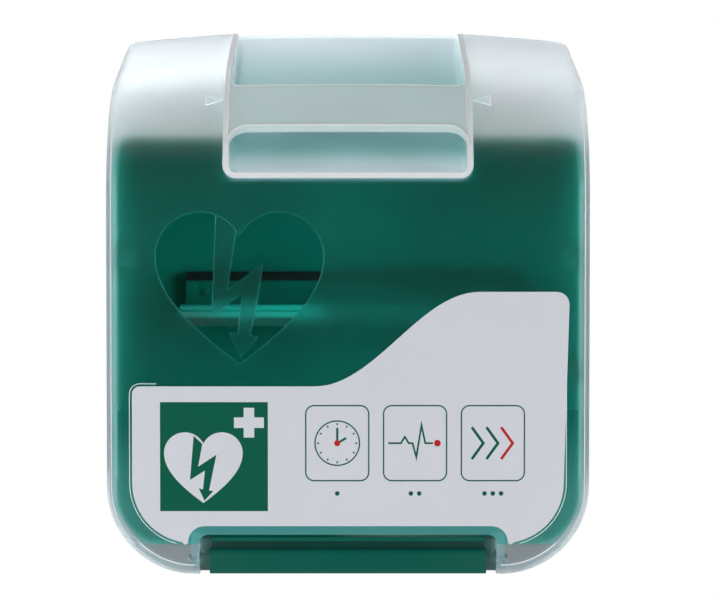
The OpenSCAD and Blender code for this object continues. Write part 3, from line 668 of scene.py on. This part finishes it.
mat_low, mat_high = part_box("shelf_mat")
rib_pitch = 0.005
rib_margin = 0.005
rib_count = int((mat_high.y - mat_low.y - 2 * rib_margin) / rib_pitch) + 1
rib_spots = [(0, mat_low.y + rib_margin + i * rib_pitch, mat_high.z) for i in range(rib_count)]
rib_sizes = {"Thickness": 0.0016, "Length": mat_high.x - mat_low.x - 2 * rib_margin}
# A black strip over the flange's top, a dark sheet put where the shadow line falls: painted shade.
shade_band_t = 0.0015
shade_band_low = 0.007
shelf_low, shelf_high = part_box("device_shelf")
shade_band_mid = shelf_seat + shelf_t / 2
shade_band_r = shelf_t / 2 + shade_band_t
shade_band_profile = curve(shade_band_mid, shelf_high.z + shade_band_t - shade_band_r, shade_band_r, 180, 0, 8)
shade_band_profile += [(shade_band_mid + r, shade_band_low) for r in (shade_band_r, shelf_t / 2)]
shade_band_profile += [(shade_band_mid + r, shelf_high.z) for r in (shelf_t / 2, -shelf_t / 2)]
shade_band_profile += [(shade_band_mid - r, shade_band_low) for r in (shelf_t / 2, shade_band_r)]
bm = bmesh.new()
shade_band_ends = (shelf_low.x, shelf_high.x)
strip(bm, [[on_front(x, z, d) for d, z in shade_band_profile + shade_band_profile[:1]] for x in shade_band_ends])
for x in shade_band_ends:
    fill(bm, lambda d, z: on_front(x, z, d), [(shade_band_profile, 0)])
outward(bm)
piece("flange_shade_band", bm, [mat_rubber], "base", "rubber_mat", ["shelf_mat"])
grown("mat_ribs", bar_tree, rib_spots, rib_sizes, mat_rubber, "base", "rubber_mat", ["shelf_mat"], sideways)

# Catch and opening switch on the tray: two plated magnets in their bosses hold the cover shut, and a green
# reed switch on the right wall tells the alarm when the cover opens.
plating = made_of("plating", (0.66, 0.65, 0.62), 0.16, grain=1800, relief=0.03, tone=0.03, Metallic=1.0)
eased("catch_magnets", "magnet_discs", [plating], "magnet", 0.0005)
eased("reed_switch", "reed_capsule", [green_plastic], "green_shell", 0.0008)

# Alarm: a pale housing on two posts below the shelf, with a circuit board, a sounder and a cradle for two
# cells. Its lid is held by four screws and has slots for the sound, a hinged battery door and a slider.
pale_plastic = made_of("pale_plastic", (0.72, 0.73, 0.71), 0.45, tone=0.03)
eased("alarm_housing", "alarm_case", [pale_plastic], "pale_plastic", 0.0006)
alarm_x, alarm_z = 0.060, -0.138
alarm_seat, lid_seat = 0.183, 0.153
alarm_seats = [on_front(x, z, alarm_seat) for x, z in alarm_post_spots]
screws("alarm_fixings", alarm_seats, 0.008, to_wall, "alarm_screws")
black_plastic = made_of("black_plastic", (0.012, 0.012, 0.014), 0.4)
eased("sounder", "sounder_can", [black_plastic], "black_plastic", 0.0008)
eased("battery_cradle", "cell_cradle", [black_plastic], "black_plastic", 0.0006)
eased("battery_contacts", "cell_contacts", [steel], "steel", 0.0002)


def tracks(place):
    """Copper tracks under the board's lacquer, in a pattern of bricks."""
    turned = place.node("ShaderNodeMapping", {"Vector": place, "Rotation": to_front})
    pattern = {"Vector": turned, "Scale": 60, "Mortar Size": 0.03, "Brick Width": 0.4, "Row Height": 0.2}
    return place.node("ShaderNodeTexBrick", pattern, "Fac")


lacquer = made_of("circuit_laminate", (0.01, 0.10, 0.035), 0.3)
laminate = overlaid(lacquer, (0.05, 0.22, 0.09), tracks)
eased("alarm_board", "board_laminate", [laminate], "circuit_board", 0.0002)
start, given, width, depth, height = grower("chips", ["Width", "Depth", "Height"])
chip_size = start.vector(X=width, Y=depth, Z=height)
chip = start.node("GeometryNodeMeshCube", {"Size": chip_size}, "Mesh")
chip_tree = scattered(start, given, chip)
board_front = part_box("alarm_board")[0].y
resistor_columns = [0.006 + 0.0055 * i for i in range(9)]
for name, columns, z, chip_w, chip_t, chip_h in (
    ("board_chips", [0.010, 0.046], -0.150, 0.009, 0.0016, 0.006),
    ("board_resistors", resistor_columns, -0.1585, 0.0016, 0.0008, 0.0032),
):
    spots = [(x, board_front - chip_t / 2, z) for x in columns]
    sizes = {"Width": chip_w, "Depth": chip_t, "Height": chip_h}
    grown(name, chip_tree, spots, sizes, black_plastic, "base", "circuit_board", ["alarm_board"])


def copper_bands(place):
    """The end with the nub of each cell: the right end of the upper one, the left end of the lower one."""
    band = 0.013
    cell_low, cell_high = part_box("batteries")
    along = place.axis("X")
    upper = place.maths("GREATER_THAN", place.axis("Z"), (cell_low.z + cell_high.z) / 2)
    right = place.maths("GREATER_THAN", along, cell_high.x - band)
    left = place.maths("LESS_THAN", along, cell_low.x + band)
    return upper * right + (1 - upper) * left


def cell_end(face):
    return int(abs(face.normal.x) > 0.9)


black_film = made_of("cell_sleeve", (0.015, 0.015, 0.017), 0.28)
cell_sleeve = overlaid(black_film, (0.42, 0.16, 0.06), copper_bands)
eased("batteries", "cells", [cell_sleeve, steel], "battery_sleeve", 0.0005, cell_end)
eased("alarm_lid", "alarm_front", [pale_plastic], "pale_plastic", 0.0005)
lid_spots = [(alarm_x + x, alarm_z + z) for x in (-0.056, 0.056) for z in (-0.029, 0.029)]
lid_seats = [on_front(x, z, lid_seat) for x, z in lid_spots]
screws("lid_fixings", lid_seats, 0.009, to_wall, "lid_screws")
eased("battery_door", "cell_door", [pale_plastic], "pale_plastic", 0.0005)
door_low, door_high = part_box("battery_door")
grip_x, grip_z, grip_pitch = 0.091, door_high.z - 0.005, 0.003
grip_spots = [(grip_x, door_low.y, grip_z - grip_pitch * i) for i in range(3)]
grip_sizes = {"Thickness": 0.0012, "Length": 0.020}
grown(
    "door_grip", bar_tree, grip_spots, grip_sizes, pale_plastic, "alarm_door", "pale_plastic",
    ["battery_door"], sideways,
)
red_plastic = made_of("red_plastic", (0.42, 0.012, 0.01), 0.4)
eased("power_slider", "slider_button", [red_plastic], "red_plastic", 0.0004)

# Cover: the frosted front, one moulding of see-through plastic that laps over the tray on all sides. Its
# face turns over a round nose into a sloping, crowned top with a notch for the handle. A heart with a bolt
# in it is polished clear, the edges gleam, and the lower corners show more of the green behind them.


def frosted(name, roughness, relief=0.2, clarity=1.0, rougher=None, tint=(0.87, 0.925, 0.95), gloss=0.2):
    """Clear plastic with a fine spark-eroded grain on its faces, and some haze where it isn't quite clear."""
    return made_of(
        name, tint, roughness, grain=1400, relief=relief, tone=0.015, Transmission_Weight=clarity, IOR=1.2,
        rougher=rougher, Coat_Weight=gloss, Coat_Roughness=0.25 - 0.15 * gloss,
        Specular_Tint=(0.3, 1.0, 1.0, 1),
    )


shoulders = (0.10, 0.15)
satin_face = frosted("satin_face", 0.42, rougher=(*shoulders, 0.9))
gleam_face = frosted("gleam_face", 0.42, rougher=(*shoulders, 0.9), gloss=1.0)
for face_finish in (satin_face, gleam_face):
    deepened(face_finish, (0.72, 0.76, 0.80), (0.190, 0.213))
    deepened(face_finish, (0.74, 0.93, 0.97), fall=(-0.195, -0.165))
deepened(satin_face, (0.35, 0.90, 0.92), (-0.185, -0.165), (0.10, 0.13))
frosted_face = frosted("frosted_face", 0.36, rougher=(*shoulders, 0.7))
clear_face = frosted("clear_face", 0.06, relief=0.02)
cover_half = cover_high.x
cover_wall = 0.0035
edge_r = 0.012
corner_r = 0.070
crown = 0.009
ease_length = 0.018
nose_turn = math.radians(74.5)
nose_length = nose_r * nose_turn
top_length = 0.118
skirt_bottom = 0.026
skirt_side = 0.102
skirt_ramp = 0.060
notch_half = 0.0981
notch_low = 0.0139
notch_r = 0.0106
row_gap = 0.002
cut_half = 0.117
cut_top_z = -0.1865
cut_r = 0.0075
face_half = cover_half - edge_r
foot = cover_low.z - nose_z


def profile(x, s, depth):
    """A point a way s up a face of a flat front, a round nose and a flat top, and a depth in from it."""
    along = max(s, 0)
    turn = min(along / nose_r, nose_turn)
    straight = along - nose_r * turn
    dip = crown * turn / nose_turn * min(1, abs(x) / face_half) ** 2
    reach = nose_r - depth - dip
    back = nose_r - reach * math.cos(turn) + straight * math.sin(turn)
    rise = min(s, 0) + reach * math.sin(turn) + straight * math.cos(turn)
    return Vector((x, front_y + back, nose_z + rise))


def skin(x, s, depth):
    """A point on the cover, whose face eases from one curve into the next."""
    return sum((profile(x, s + ease_length * share, depth) for share in (-1, -0.5, 0, 0.5, 1)), Vector()) / 5


def skirt(s):
    """Depth of the cover's side wall, which deepens up from the bottom corners."""
    share = (s - foot - corner_r) / skirt_ramp
    return skirt_bottom + (skirt_side - skirt_bottom) * max(0, min(1, share))


rows = steps(nose_length + top_length, nose_length, 9) + steps(nose_length, 0, 34)[1:]
side_rows = rows + [-0.05, -0.11, foot + corner_r + skirt_ramp, foot + corner_r + skirt_ramp / 2]
cover_path = [(cover_half, s, 1, 0) for s in side_rows]
round_x, round_z = cover_half - corner_r, cover_low.z + corner_r
cover_path += arc(round_x, foot + corner_r, corner_r, 0, -90, 18)
cover_path += [(cut_half, foot, 0, -1)]
edge_bend = [math.radians(90 - 11.25 * i) for i in range(9)]
edge_ring = [(edge_r * (1 - math.sin(t)), edge_r * (1 - math.cos(t))) for t in edge_bend]
bm = bmesh.new()
for side in (1, -1):
    strip(
        bm,
        [
            [skin(side * x, s, skirt(s))]
            + [skin(side * (x - nx * o), s - ns * o, d) for o, d in edge_ring]
            for x, s, nx, ns in cover_path
        ],
    )
plain, polished, sill, edge, gleam, corner = range(6)
corner_top_z, corner_low_z, corner_low_x = -0.0885, -0.194, 0.1305
edge_bands = [edge, edge, edge, gleam, gleam, gleam, plain, plain, corner]
for number, face in enumerate(bm.faces):
    band = edge_bands[number % len(edge_bands)]
    by_corner = corner_low_z < face.calc_center_median().z < corner_top_z
    face.material_index = plain if band == corner and not by_corner else band


def cut_at_wall(bm):
    """Cuts a sheet off level with the cover's back, and draws points that lie close to the cut onto it."""
    bmesh.ops.bisect_plane(
        bm, geom=bm.verts[:] + bm.edges[:] + bm.faces[:], dist=0.002, plane_co=(0, cover_high.y, 0),
        plane_no=(0, 1, 0), use_snap_center=True, clear_outer=True,
    )


def mirrored(points):
    """The same points on the other side, in the other order."""
    return [(-p[0], p[1]) for p in points[::-1]]


def heart(x, z, size):
    """A heart about the middle of its lobes: two round lobes and two bowed sides down to the tip."""
    lobe = curve(x + 31 * size, z, 35 * size, 0, 152.3, 22)
    side = []
    for t in steps(0, 1, 12)[1:]:
        u = 1 - t
        across = 66 * u**3 + 3 * 66 * u * u * t + 3 * 36 * u * t * t
        down = 3 * 30 * u * u * t + 3 * 57.5 * u * t * t + 84 * t**3
        side.append((x + across * size, z - down * size))
    half = lobe[::-1] + side
    return half + [(2 * x - p[0], p[1]) for p in half[-2:0:-1]]


millimetre = 0.001
window_x, window_z, window_size = -0.0847, 0.0315, millimetre
bolt_points = [
    (-0.1030, 0.0700), (-0.1063, -0.0146), (-0.0828, 0.0023), (-0.0860, -0.0290), (-0.0930, -0.0279),
    (-0.0837, -0.0470), (-0.0699, -0.0313), (-0.0766, -0.0298), (-0.0713, -0.0063), (-0.0664, 0.0265),
    (-0.0942, 0.0054), (-0.0860, 0.0600),
]
window = [(x, z - nose_z) for x, z in heart(window_x, window_z, window_size)]
bolt = [(x, z - nose_z) for x, z in bolt_points]
notch_right = arc(notch_half - notch_r, notch_low + notch_r, notch_r, -90, 0, 8)
notch_right += [(notch_half, s) for s in rows[::-1] if s > notch_low + notch_r + row_gap]
lip_points = [(x, notch_low) for x in steps(0, notch_half - notch_r, 9)[:-1]]
notch = mirrored(lip_points + notch_right) + (lip_points + notch_right)[1:]
cut_right = [(cut_half, foot + edge_r)]
cut_right += curve(cut_half - cut_r, cut_top_z - nose_z - cut_r, cut_r, 0, 90, 5)
rim_right = inset(cover_path[:-1], edge_r)
top_right = [(x, rows[0]) for x in steps(notch_half, face_half, 9)[1:-1]]
right_half = top_right + rim_right + cut_right
face_outline = right_half + mirrored(right_half) + notch
grid_columns = steps(-face_half, face_half, 40)[1:-1]
clear_of_notch = notch_half + 0.003
grid = [
    (x, s)
    for s in rows[1:]
    for x in grid_columns
    if abs(x) > clear_of_notch or s < notch_low - 0.001
]
sill_half = cut_half + 0.0105
sill_high = foot + 0.0405
sill_right = cut_right[:0:-1] + [(sill_half, cut_right[1][1]), (sill_half, sill_high)]
sill_strip = sill_right + mirrored(sill_right)
label_corner_x, label_corner_z, label_corner_r = 0.122, -0.146, 0.047
under_label_r = label_corner_r - 0.002
seam = 0.0001
corner_strip = [(label_corner_x + under_label_r, corner_top_z), (face_half - seam, corner_top_z)]
corner_strip += curve(round_x, round_z, corner_r - edge_r - seam, 0, -51, 12)
corner_strip += [(corner_low_x, corner_low_z)]
corner_strip += curve(label_corner_x, label_corner_z, under_label_r, -79, 0, 12)
corner_strip = [(x, z - nose_z) for x, z in corner_strip]
fill(
    bm,
    lambda x, s: skin(x, s, 0),
    [
        (face_outline, plain), (window, polished), (bolt, plain), (sill_strip, sill),
        (corner_strip, corner), (mirrored(corner_strip), corner),
    ],
    grid,
)
cut_at_wall(bm)
outward(bm)
# A whitish haze on the cover's cut edges, partly the look of cut frosted plastic and partly a painted
# highlight along the edges.
edge_glint = frosted("edge_glint", 0.4, clarity=0.3, tint=(0.90, 0.93, 0.95))
edge_face = frosted("edge_face", 0.4, clarity=0.8, tint=(0.90, 0.93, 0.97))
sill_face = frosted("sill_face", 0.4, clarity=0.6, tint=(0.16, 0.63, 0.62))
corner_face = frosted("corner_face", 0.33, clarity=0.8, tint=(0.24, 0.80, 0.77))
deepened(corner_face, (0.035, 0.33, 0.285), (-0.17, -0.09))
outer_finishes = [satin_face, clear_face, sill_face, edge_face, gleam_face, corner_face]
inner_finishes = [frosted_face, clear_face] + 4 * [frosted_face]
cover_finishes = outer_finishes + inner_finishes + [edge_glint]
piece(
    "front_shell", bm, cover_finishes, "front_cover", "frosted_cover", ["cover"], wall=cover_wall,
    inner=len(outer_finishes), rim=len(outer_finishes + inner_finishes), ease=0.0006, shadow=False,
)

# Raised lines on the cover: a fine bead round the window and its bolt, one along the edge of the label's
# shallow seat and two flat marks that point at the handle from either side, all moulded with it, and
# beads round the sides and along each foot. All beads but the window's are near white, painted
# highlights; those round the sides and feet stand only for the highlight lines of the rounded edges.
start, given, thick = grower("bead", ["Thickness"])
path = start.node("GeometryNodeMeshToCurve", {"Mesh": given["Geometry"]})
bead_tree = ripen(start, given, tube(start, path, thick * 0.5, 12))


def beads(name, runs, thickness, finish, nodes=(), shadow=False):
    """Beads along runs of points, half sunk. A run that ends where it starts is a ring."""
    spots = []
    edges = []
    for points in runs:
        first = len(spots)
        ring = points[0] == points[-1]
        count = len(points) - ring
        spots += points[:count]
        edges += [(first + i, first + (i + 1) % count) for i in range(len(points) - 1)]
    sizes = {"Thickness": thickness}
    on_body = ("front_cover", "frosted_cover", nodes)
    grown(name, bead_tree, spots, sizes, finish, *on_body, edges=edges, shadow=shadow)


def on_cover(points, depth=0):
    """Points on the cover's face, or at a depth in from it."""
    return [skin(x, z - nose_z, depth) for x, z, *_ in points]


window_ring = heart(window_x, window_z, window_size)
window_line = frosted("window_line", 0.4, clarity=0.6, tint=(0.04, 0.40, 0.34))
bolt_run = [(-0.1032, 0.0640)] + bolt_points[1:-1] + [(-0.0874, 0.0520)]
window_runs = [on_cover(window_ring + window_ring[:1]), on_cover(bolt_run)]
beads("window_bead", window_runs, 0.0006, window_line)
# A near-white, nearly opaque finish for beads and rims: a painted highlight along each edge it lies on.
lip_glint = frosted("lip_glint", 0.4, clarity=0.1, tint=(0.95, 0.97, 0.98))
seat_gap = 0.002
seat_r = label_corner_r + seat_gap
seat_end_x, seat_end_z = -0.150, -0.010
label_top_x, label_top_z, label_top_r = -0.163, -0.076, 0.006
seat_left = arc(-label_corner_x, label_corner_z, seat_r, 255, 180, 14)
seat_left += arc(label_top_x, label_top_z, label_top_r + seat_gap, 180, 90, 6)
seat_left += [(seat_end_x, label_top_z + label_top_r + seat_gap)]
seat_right = arc(label_corner_x, label_corner_z, seat_r, -75, 0, 14)
seat_right += [(label_corner_x + seat_r, seat_end_z)]
beads("label_seat", [on_cover(seat_left), on_cover(seat_right)], 0.0006, lip_glint)
foot_line_r = 0.0615
foot_line = arc(round_x, round_z, foot_line_r, -90, -46, 10)
beads("foot_lines", [on_cover(mirrored(foot_line)), on_cover(foot_line)], 0.001, lip_glint)
rim_line_turn = math.radians(39)
rim_line_in = edge_r * (1 - math.sin(rim_line_turn))
rim_line_depth = edge_r * (1 - math.cos(rim_line_turn))
rim_line_top = nose_z + 0.1
rim_line = [(cover_half - rim_line_in, z) for z in steps(rim_line_top, round_z, 24)[:-1]]
rim_line += arc(round_x, round_z, corner_r - rim_line_in, 0, -44, 10)
rim_runs = [on_cover(line, rim_line_depth) for line in (mirrored(rim_line), rim_line)]
beads("rim_lines", rim_runs, 0.0007, lip_glint)


def closed_body(bm, rings):
    """Joins rings of points with quads and closes both ends."""
    strip(bm, [ring + ring[:1] for ring in rings])
    for ring in (rings[0], rings[-1]):
        bm.faces.new([bm.verts.new(point) for point in ring])


mark_tip = 0.0995
mark_end = 0.1125
mark_low, mark_high, mark_mid = 0.079, 0.0905, 0.0840
mark_proud = 0.0006
mark_runs = []
bm = bmesh.new()
for side in (-1, 1):
    mark = [(side * mark_tip, mark_mid), (side * mark_end, mark_high), (side * mark_end, mark_low)]
    mark_runs.append([skin(x, s, 0) for x, s in mark])
    closed_body(bm, [[skin(x, s, depth) for x, s in mark] for depth in (-mark_proud, mark_proud)])
outward(bm)
mark_face = frosted("mark_face", 0.5, clarity=0.8, tint=(0.80, 0.86, 0.88))
piece("pull_marks", bm, [mark_face], "front_cover", "frosted_cover", ease=0.0002, shadow=False)
beads("mark_edges", mark_runs, 0.0007, lip_glint)

# Ears for the hinge, bonded into the cover's bottom corners beside the cut-out.
# The rod passes through them.
ear_face = frosted("ear_face", 0.4, clarity=0.85, tint=(0.62, 0.78, 0.79))
eased("hinge_ears", "cover_ears", [ear_face], "frosted_cover", 0.0006, shadow=False)

# Brackets inside the cover's skirts, with a steel plate on each that meets its magnet, and a small
# magnet in a green block for the reed switch.
eased("cover_brackets", "skirt_brackets", [green_plastic], "green_shell", 0.0006)
eased("catch_plates", "plate_discs", [steel], "steel", 0.0003)
eased("switch_magnet", "switch_block", [green_plastic], "magnet", 0.0006)

# Handle: a pocket for the fingers, sunk into the cover's nose and top and moulded with it, with a grip
# bar across its mouth. The bar lies flush with the nose, ends in soft fillets at the pocket's sides,
# and its lower edge is rolled into a bead for the fingertips.
pocket_half = 0.094
pocket_wall = 0.004
pocket_low = notch_low + pocket_wall
pocket_corner_r = 0.0065
pocket_floor_r = 0.006
pocket_deep = 0.038
pocket_shallow = 0.0008
pocket_ramp = 0.024
pocket_rise = 0.016
bar_low = nose_r * math.radians(27)
bar_high = nose_r * math.radians(52)
bar_thick = 0.005
bar_low_fillet = 0.016
bar_high_fillet = 0.009
bead_r = 0.004
bead_proud = 0.0007
bar_end = pocket_half + 0.0005


def pocket_depth(s):
    """Depth of the pocket's floor, which rises to its lip in front and to the cover's top at the back."""
    bend_at = nose_r * math.radians(59)
    share = max(0, s - bend_at) / (nose_length + top_length - bend_at)
    ramp = max(0, 1 - (s - pocket_low) / pocket_ramp)
    return pocket_deep + (pocket_shallow - pocket_deep) * share - pocket_rise * ramp * ramp


# The pocket's hazy finish is tinted grey, painted shade deep in the pocket. It deepens to teal over most of
# the floor, partly the green tray behind it and partly painted shade towards the grip bar.
hazy_face_painted_shade = frosted("hazy_face_painted_shade", 0.5, clarity=0.15, tint=(0.60, 0.66, 0.69))
deepened(hazy_face_painted_shade, (0.20, 0.39, 0.385), (0.098, 0.118), (0.165, 0.225))
pocket_rows = [s for s in rows if s > pocket_low + pocket_corner_r + row_gap]
pocket_corner_x = pocket_half - pocket_corner_r
pocket_right = [(pocket_half, s, 1, 0) for s in pocket_rows]
pocket_right += arc(pocket_corner_x, pocket_low + pocket_corner_r, pocket_corner_r, 0, -90, 6)
pocket_right += [(x, pocket_low, 0, -1) for x in steps(pocket_corner_x, 0, 10)[1:]]
pocket_path = pocket_right + [(-x, s, -nx, ns) for x, s, nx, ns in pocket_right[-2::-1]]
pocket_rings = []
floor_outline = []
for x, s, nx, ns in pocket_path:
    deep = pocket_depth(s)
    r = min(pocket_floor_r, 0.8 * deep)
    ring = [(0, 0), (0, (deep - r) / 2)]
    ring += [(r * (1 - math.cos(t)), deep - r + r * math.sin(t)) for t in bend]
    pocket_rings.append([skin(x - nx * o, s - ns * o, d) for o, d in ring])
    floor_outline.append((x - nx * r, s - ns * r))
floor_grid = [
    (x, s)
    for s in pocket_rows[1:]
    for x in steps(-pocket_half, pocket_half, 20)[2:-2]
    if s > pocket_low + 2 * pocket_floor_r
]
bm = bmesh.new()
strip(bm, pocket_rings)
fill(bm, lambda x, s: skin(x, s, pocket_depth(s)), [(floor_outline, 0)], floor_grid)
cut_at_wall(bm)
outward(bm)
of_handle = ("front_cover", "frosted_cover", ["handle"])
piece(
    "handle_pocket", bm, [hazy_face_painted_shade, frosted_face, lip_glint], *of_handle,
    wall=pocket_wall, side=1, inner=1, rim=2, ease=0.0008, smooth=20, shadow=False,
)
# The pocket's rim and the beads along its lip and the bar's edges are near white, painted highlights.
lip_run = [skin(x, s, 0.0004) for x, s, _, _ in pocket_path]
lip_run = [spot for spot in lip_run if spot.y < cover_high.y - 0.001]
beads("pocket_lip", [lip_run], 0.0016, lip_glint, ["handle"], shadow=True)


def fillet(x, radius):
    """How far a fillet at the bar's end has turned aside at x."""
    reach = max(0, abs(x) - (bar_end - radius))
    return radius - math.sqrt(max(0, radius**2 - reach**2))


def bar_ring(x):
    """The bar's section at x: a round top edge, its outer face, the bead and its inner face."""
    low = bar_low - fillet(x, bar_low_fillet)
    high = bar_high + fillet(x, bar_high_fillet)
    half = bar_thick / 2
    top = [(high - half + p[1], half - p[0]) for p in arc(0, 0, half, 180, 0, 6)]
    centre = bead_r - bead_proud
    bead_from = math.degrees(math.asin(centre / bead_r))
    bead_to = 360 - math.degrees(math.asin((bar_thick - centre) / bead_r))
    bead = [(low + bead_r + p[0], centre - p[1]) for p in arc(0, 0, bead_r, bead_from, bead_to, 18)]
    outer = [(s, 0) for s in steps(high - half, bead[0][0], 9)[1:-1]]
    inner = [(s, bar_thick) for s in steps(bead[-1][0], high - half, 9)[1:-1]]
    return [skin(x, s, d) for s, d in top + outer + bead + inner]


bar_columns = steps(-bar_end, bar_low_fillet - bar_end, 10)[:-1]
bar_columns += steps(bar_low_fillet - bar_end, bar_end - bar_low_fillet, 16)
bar_columns += [-x for x in bar_columns[9::-1]]
bm = bmesh.new()
closed_body(bm, [bar_ring(x) for x in bar_columns])
outward(bm)
bar_face = frosted("bar_face", 0.45, clarity=0.42, tint=(0.88, 0.99, 1.0))
piece("grip_bar", bm, [bar_face], *of_handle)
low_run = [skin(x, bar_low - fillet(x, bar_low_fillet) + bead_r, -bead_proud) for x in bar_columns]
high_run = [skin(x, bar_high + fillet(x, bar_high_fillet) - bar_thick / 2, 0) for x in bar_columns]
beads("bar_edge", [low_run], 0.0016, lip_glint, ["handle"], shadow=True)
beads("bar_top_edge", [high_run], 0.0009, lip_glint, ["handle"], shadow=True)

# Label: a printed film stuck on the lower part of the cover, cut to the cover's corners and to a
# swinging top edge. It carries the standard green sign of a heart, a bolt and a cross, and a row of
# three plain tiles, numbered by dots.
label_lift = 0.0004
film_grain = {"grain": 2600, "relief": 0.03}
printed = {**film_grain, "tone": 0.02, "Specular_IOR_Level": 0.2}
label_film = made_of("label_film", (0.75, 0.775, 0.83), 0.38, tone=0.01, **film_grain)
green_ink = made_of("green_ink", (0.001, 0.115, 0.066), 0.45, **printed)
red_ink = made_of("red_ink", (0.55, 0.02, 0.02), 0.45, **printed)
film, green, red = 0, 1, 2


def rounded(x, z, half_w, half_h, r):
    """A rectangle with round corners about its middle."""
    spots = []
    for turn, (side, level) in zip((-90, 0, 90, 180), corners[1:] + corners[:1]):
        spots += curve(x + side * (half_w - r), z + level * (half_h - r), r, turn, turn + 90, 6)
    return spots


swing_x, swing_reach = -0.026, 0.129
swing_z, swing_rise = -0.070, 0.074


def swing(t):
    """The label's top edge between its two levels, a cosine swing."""
    return swing_x + swing_reach * t, swing_z + swing_rise * (1 - math.cos(math.pi * t)) / 2


tip_x, tip_z, tip_r = 0.1278, -0.1917, 0.0025
bay_x, bay_z, bay_r = 0.1126, -0.1924, 0.0127
peak_x, peak_z, peak_r = 0.163, -0.006, 0.010
label_outline = curve(label_corner_x, label_corner_z, label_corner_r, 0, -80, 12)
label_outline += curve(tip_x, tip_z, tip_r, -85, -180, 6)
label_outline += curve(bay_x, bay_z, bay_r, 5, 90, 9)
label_outline += mirrored(label_outline)
label_outline += curve(label_top_x, label_top_z, label_top_r, 180, 90, 6)
label_outline += [swing(t) for t in steps(0, 1, 24)]
label_outline += curve(peak_x, peak_z, peak_r, 90, 0, 6)
sign_left, sign_right, sign_low, sign_high = -0.1471, -0.0627, -0.1679, -0.0823
sign = oblong(sign_left, sign_right, sign_low, sign_high)
cross_x, cross_z = -0.0775, -0.0984
cross_long, cross_short = 0.0117, 0.00415
quarter = [(cross_long, cross_short), (cross_short, cross_short), (cross_short, cross_long)]
cross = []
for turn in range(4):
    cross += [(cross_x + x, cross_z + z) for x, z in quarter]
    quarter = [(-z, x) for x, z in quarter]
sign_bolt = [
    (-0.1208, -0.1087), (-0.1140, -0.1151), (-0.1173, -0.1330), (-0.1030, -0.1236), (-0.1088, -0.1516),
    (-0.1054, -0.1521), (-0.1124, -0.1597), (-0.1169, -0.1498), (-0.1136, -0.1510), (-0.1120, -0.1360),
    (-0.1237, -0.1434),
]
sign_heart_x, sign_heart_z, sign_heart_size = -0.1132, -0.1223, 0.467 * millimetre
sign_heart = heart(sign_heart_x, sign_heart_z, sign_heart_size)
label_loops = [(label_outline, film), (sign, green), (cross, film), (sign_heart, film), (sign_bolt, green)]


def stroke(points, width):
    """The outline of a line of even width, mitred at its corners."""
    spots = [Vector(p) for p in points]
    runs = [(b - a).normalized() for a, b in zip(spots, spots[1:])]
    left, right = [], []
    for spot, before, after in zip(spots, runs[:1] + runs, runs + runs[-1:]):
        mitre = Vector((-before.y - after.y, before.x + after.x)).normalized()
        reach = mitre * width / 2 / mitre.dot(Vector((-before.y, before.x)))
        left.append(spot + reach)
        right.append(spot - reach)
    return [tuple(p) for p in left + right[::-1]]


def disc(x, z, radius):
    return curve(x, z, radius, 0, 350, 35)


tile_half_w, tile_half_h = 0.0252, 0.030
tile_r = 0.007
tile_z = -0.1145
tile_pitch = 0.0609
tile_from = -0.0084
line = 0.0011
bold = 0.0018
dot_z = tile_z - tile_half_h - 0.0095
dot_pitch = 0.0065
tile_columns = [tile_from + number * tile_pitch for number in range(3)]
for number, x in enumerate(tile_columns):
    for inset, colour in ((0, green), (line, film)):
        tile = rounded(x, tile_z, tile_half_w - inset, tile_half_h - inset, tile_r - inset)
        label_loops.append((tile, colour))
    for dot in range(number + 1):
        label_loops.append((disc(x + (dot - number / 2) * dot_pitch, dot_z, bold), green))
dial_x, pulse_x, arrow_x = tile_columns
dial_r = 0.018
label_loops += [(disc(dial_x, tile_z, dial_r), green), (disc(dial_x, tile_z, dial_r - line), film)]
for hour in range(12):
    turn = math.radians(30 * hour)
    inner_r, outer_r = dial_r - 3.6 * line, dial_r - 2 * line
    ends = [(dial_x + r * math.sin(turn), tile_z + r * math.cos(turn)) for r in (inner_r, outer_r)]
    label_loops.append((stroke(ends, line), green))
hands = [(dial_x, tile_z + 0.012), (dial_x, tile_z), (dial_x + 0.007, tile_z + 0.004)]
label_loops += [(stroke(hands, bold), green), (disc(dial_x, tile_z, 0.0024), red)]
pulse = [(-21, 0), (-11, 0), (-8, 5), (-5, 0), (-2, 0), (1, -11), (5, 14), (8, 0), (14, 0)]
pulse_line = [(pulse_x + x * millimetre, tile_z + z * millimetre) for x, z in pulse]
label_loops += [(stroke(pulse_line, line * 1.3), green), (disc(pulse_x + 0.0175, tile_z, 0.0026), red)]
arrow_long, arrow_half, arrow_pitch = 0.009, 0.0125, 0.0115
for step, colour in ((-1, green), (0, green), (1, red)):
    tip = arrow_x + 0.004 + step * arrow_pitch
    chevron = [(tip - arrow_long * abs(i), tile_z - arrow_half * i) for i in (-1, 0, 1)]
    label_loops.append((stroke(chevron, bold * 1.2), colour))
bm = bmesh.new()
fill_at(bm, -label_lift, label_loops)
outward(bm)
piece(
    "label_sheet", bm, [label_film, green_ink, red_ink], "front_cover", "label_sheet", ["label"],
    wall=label_lift, shadow=False,
)
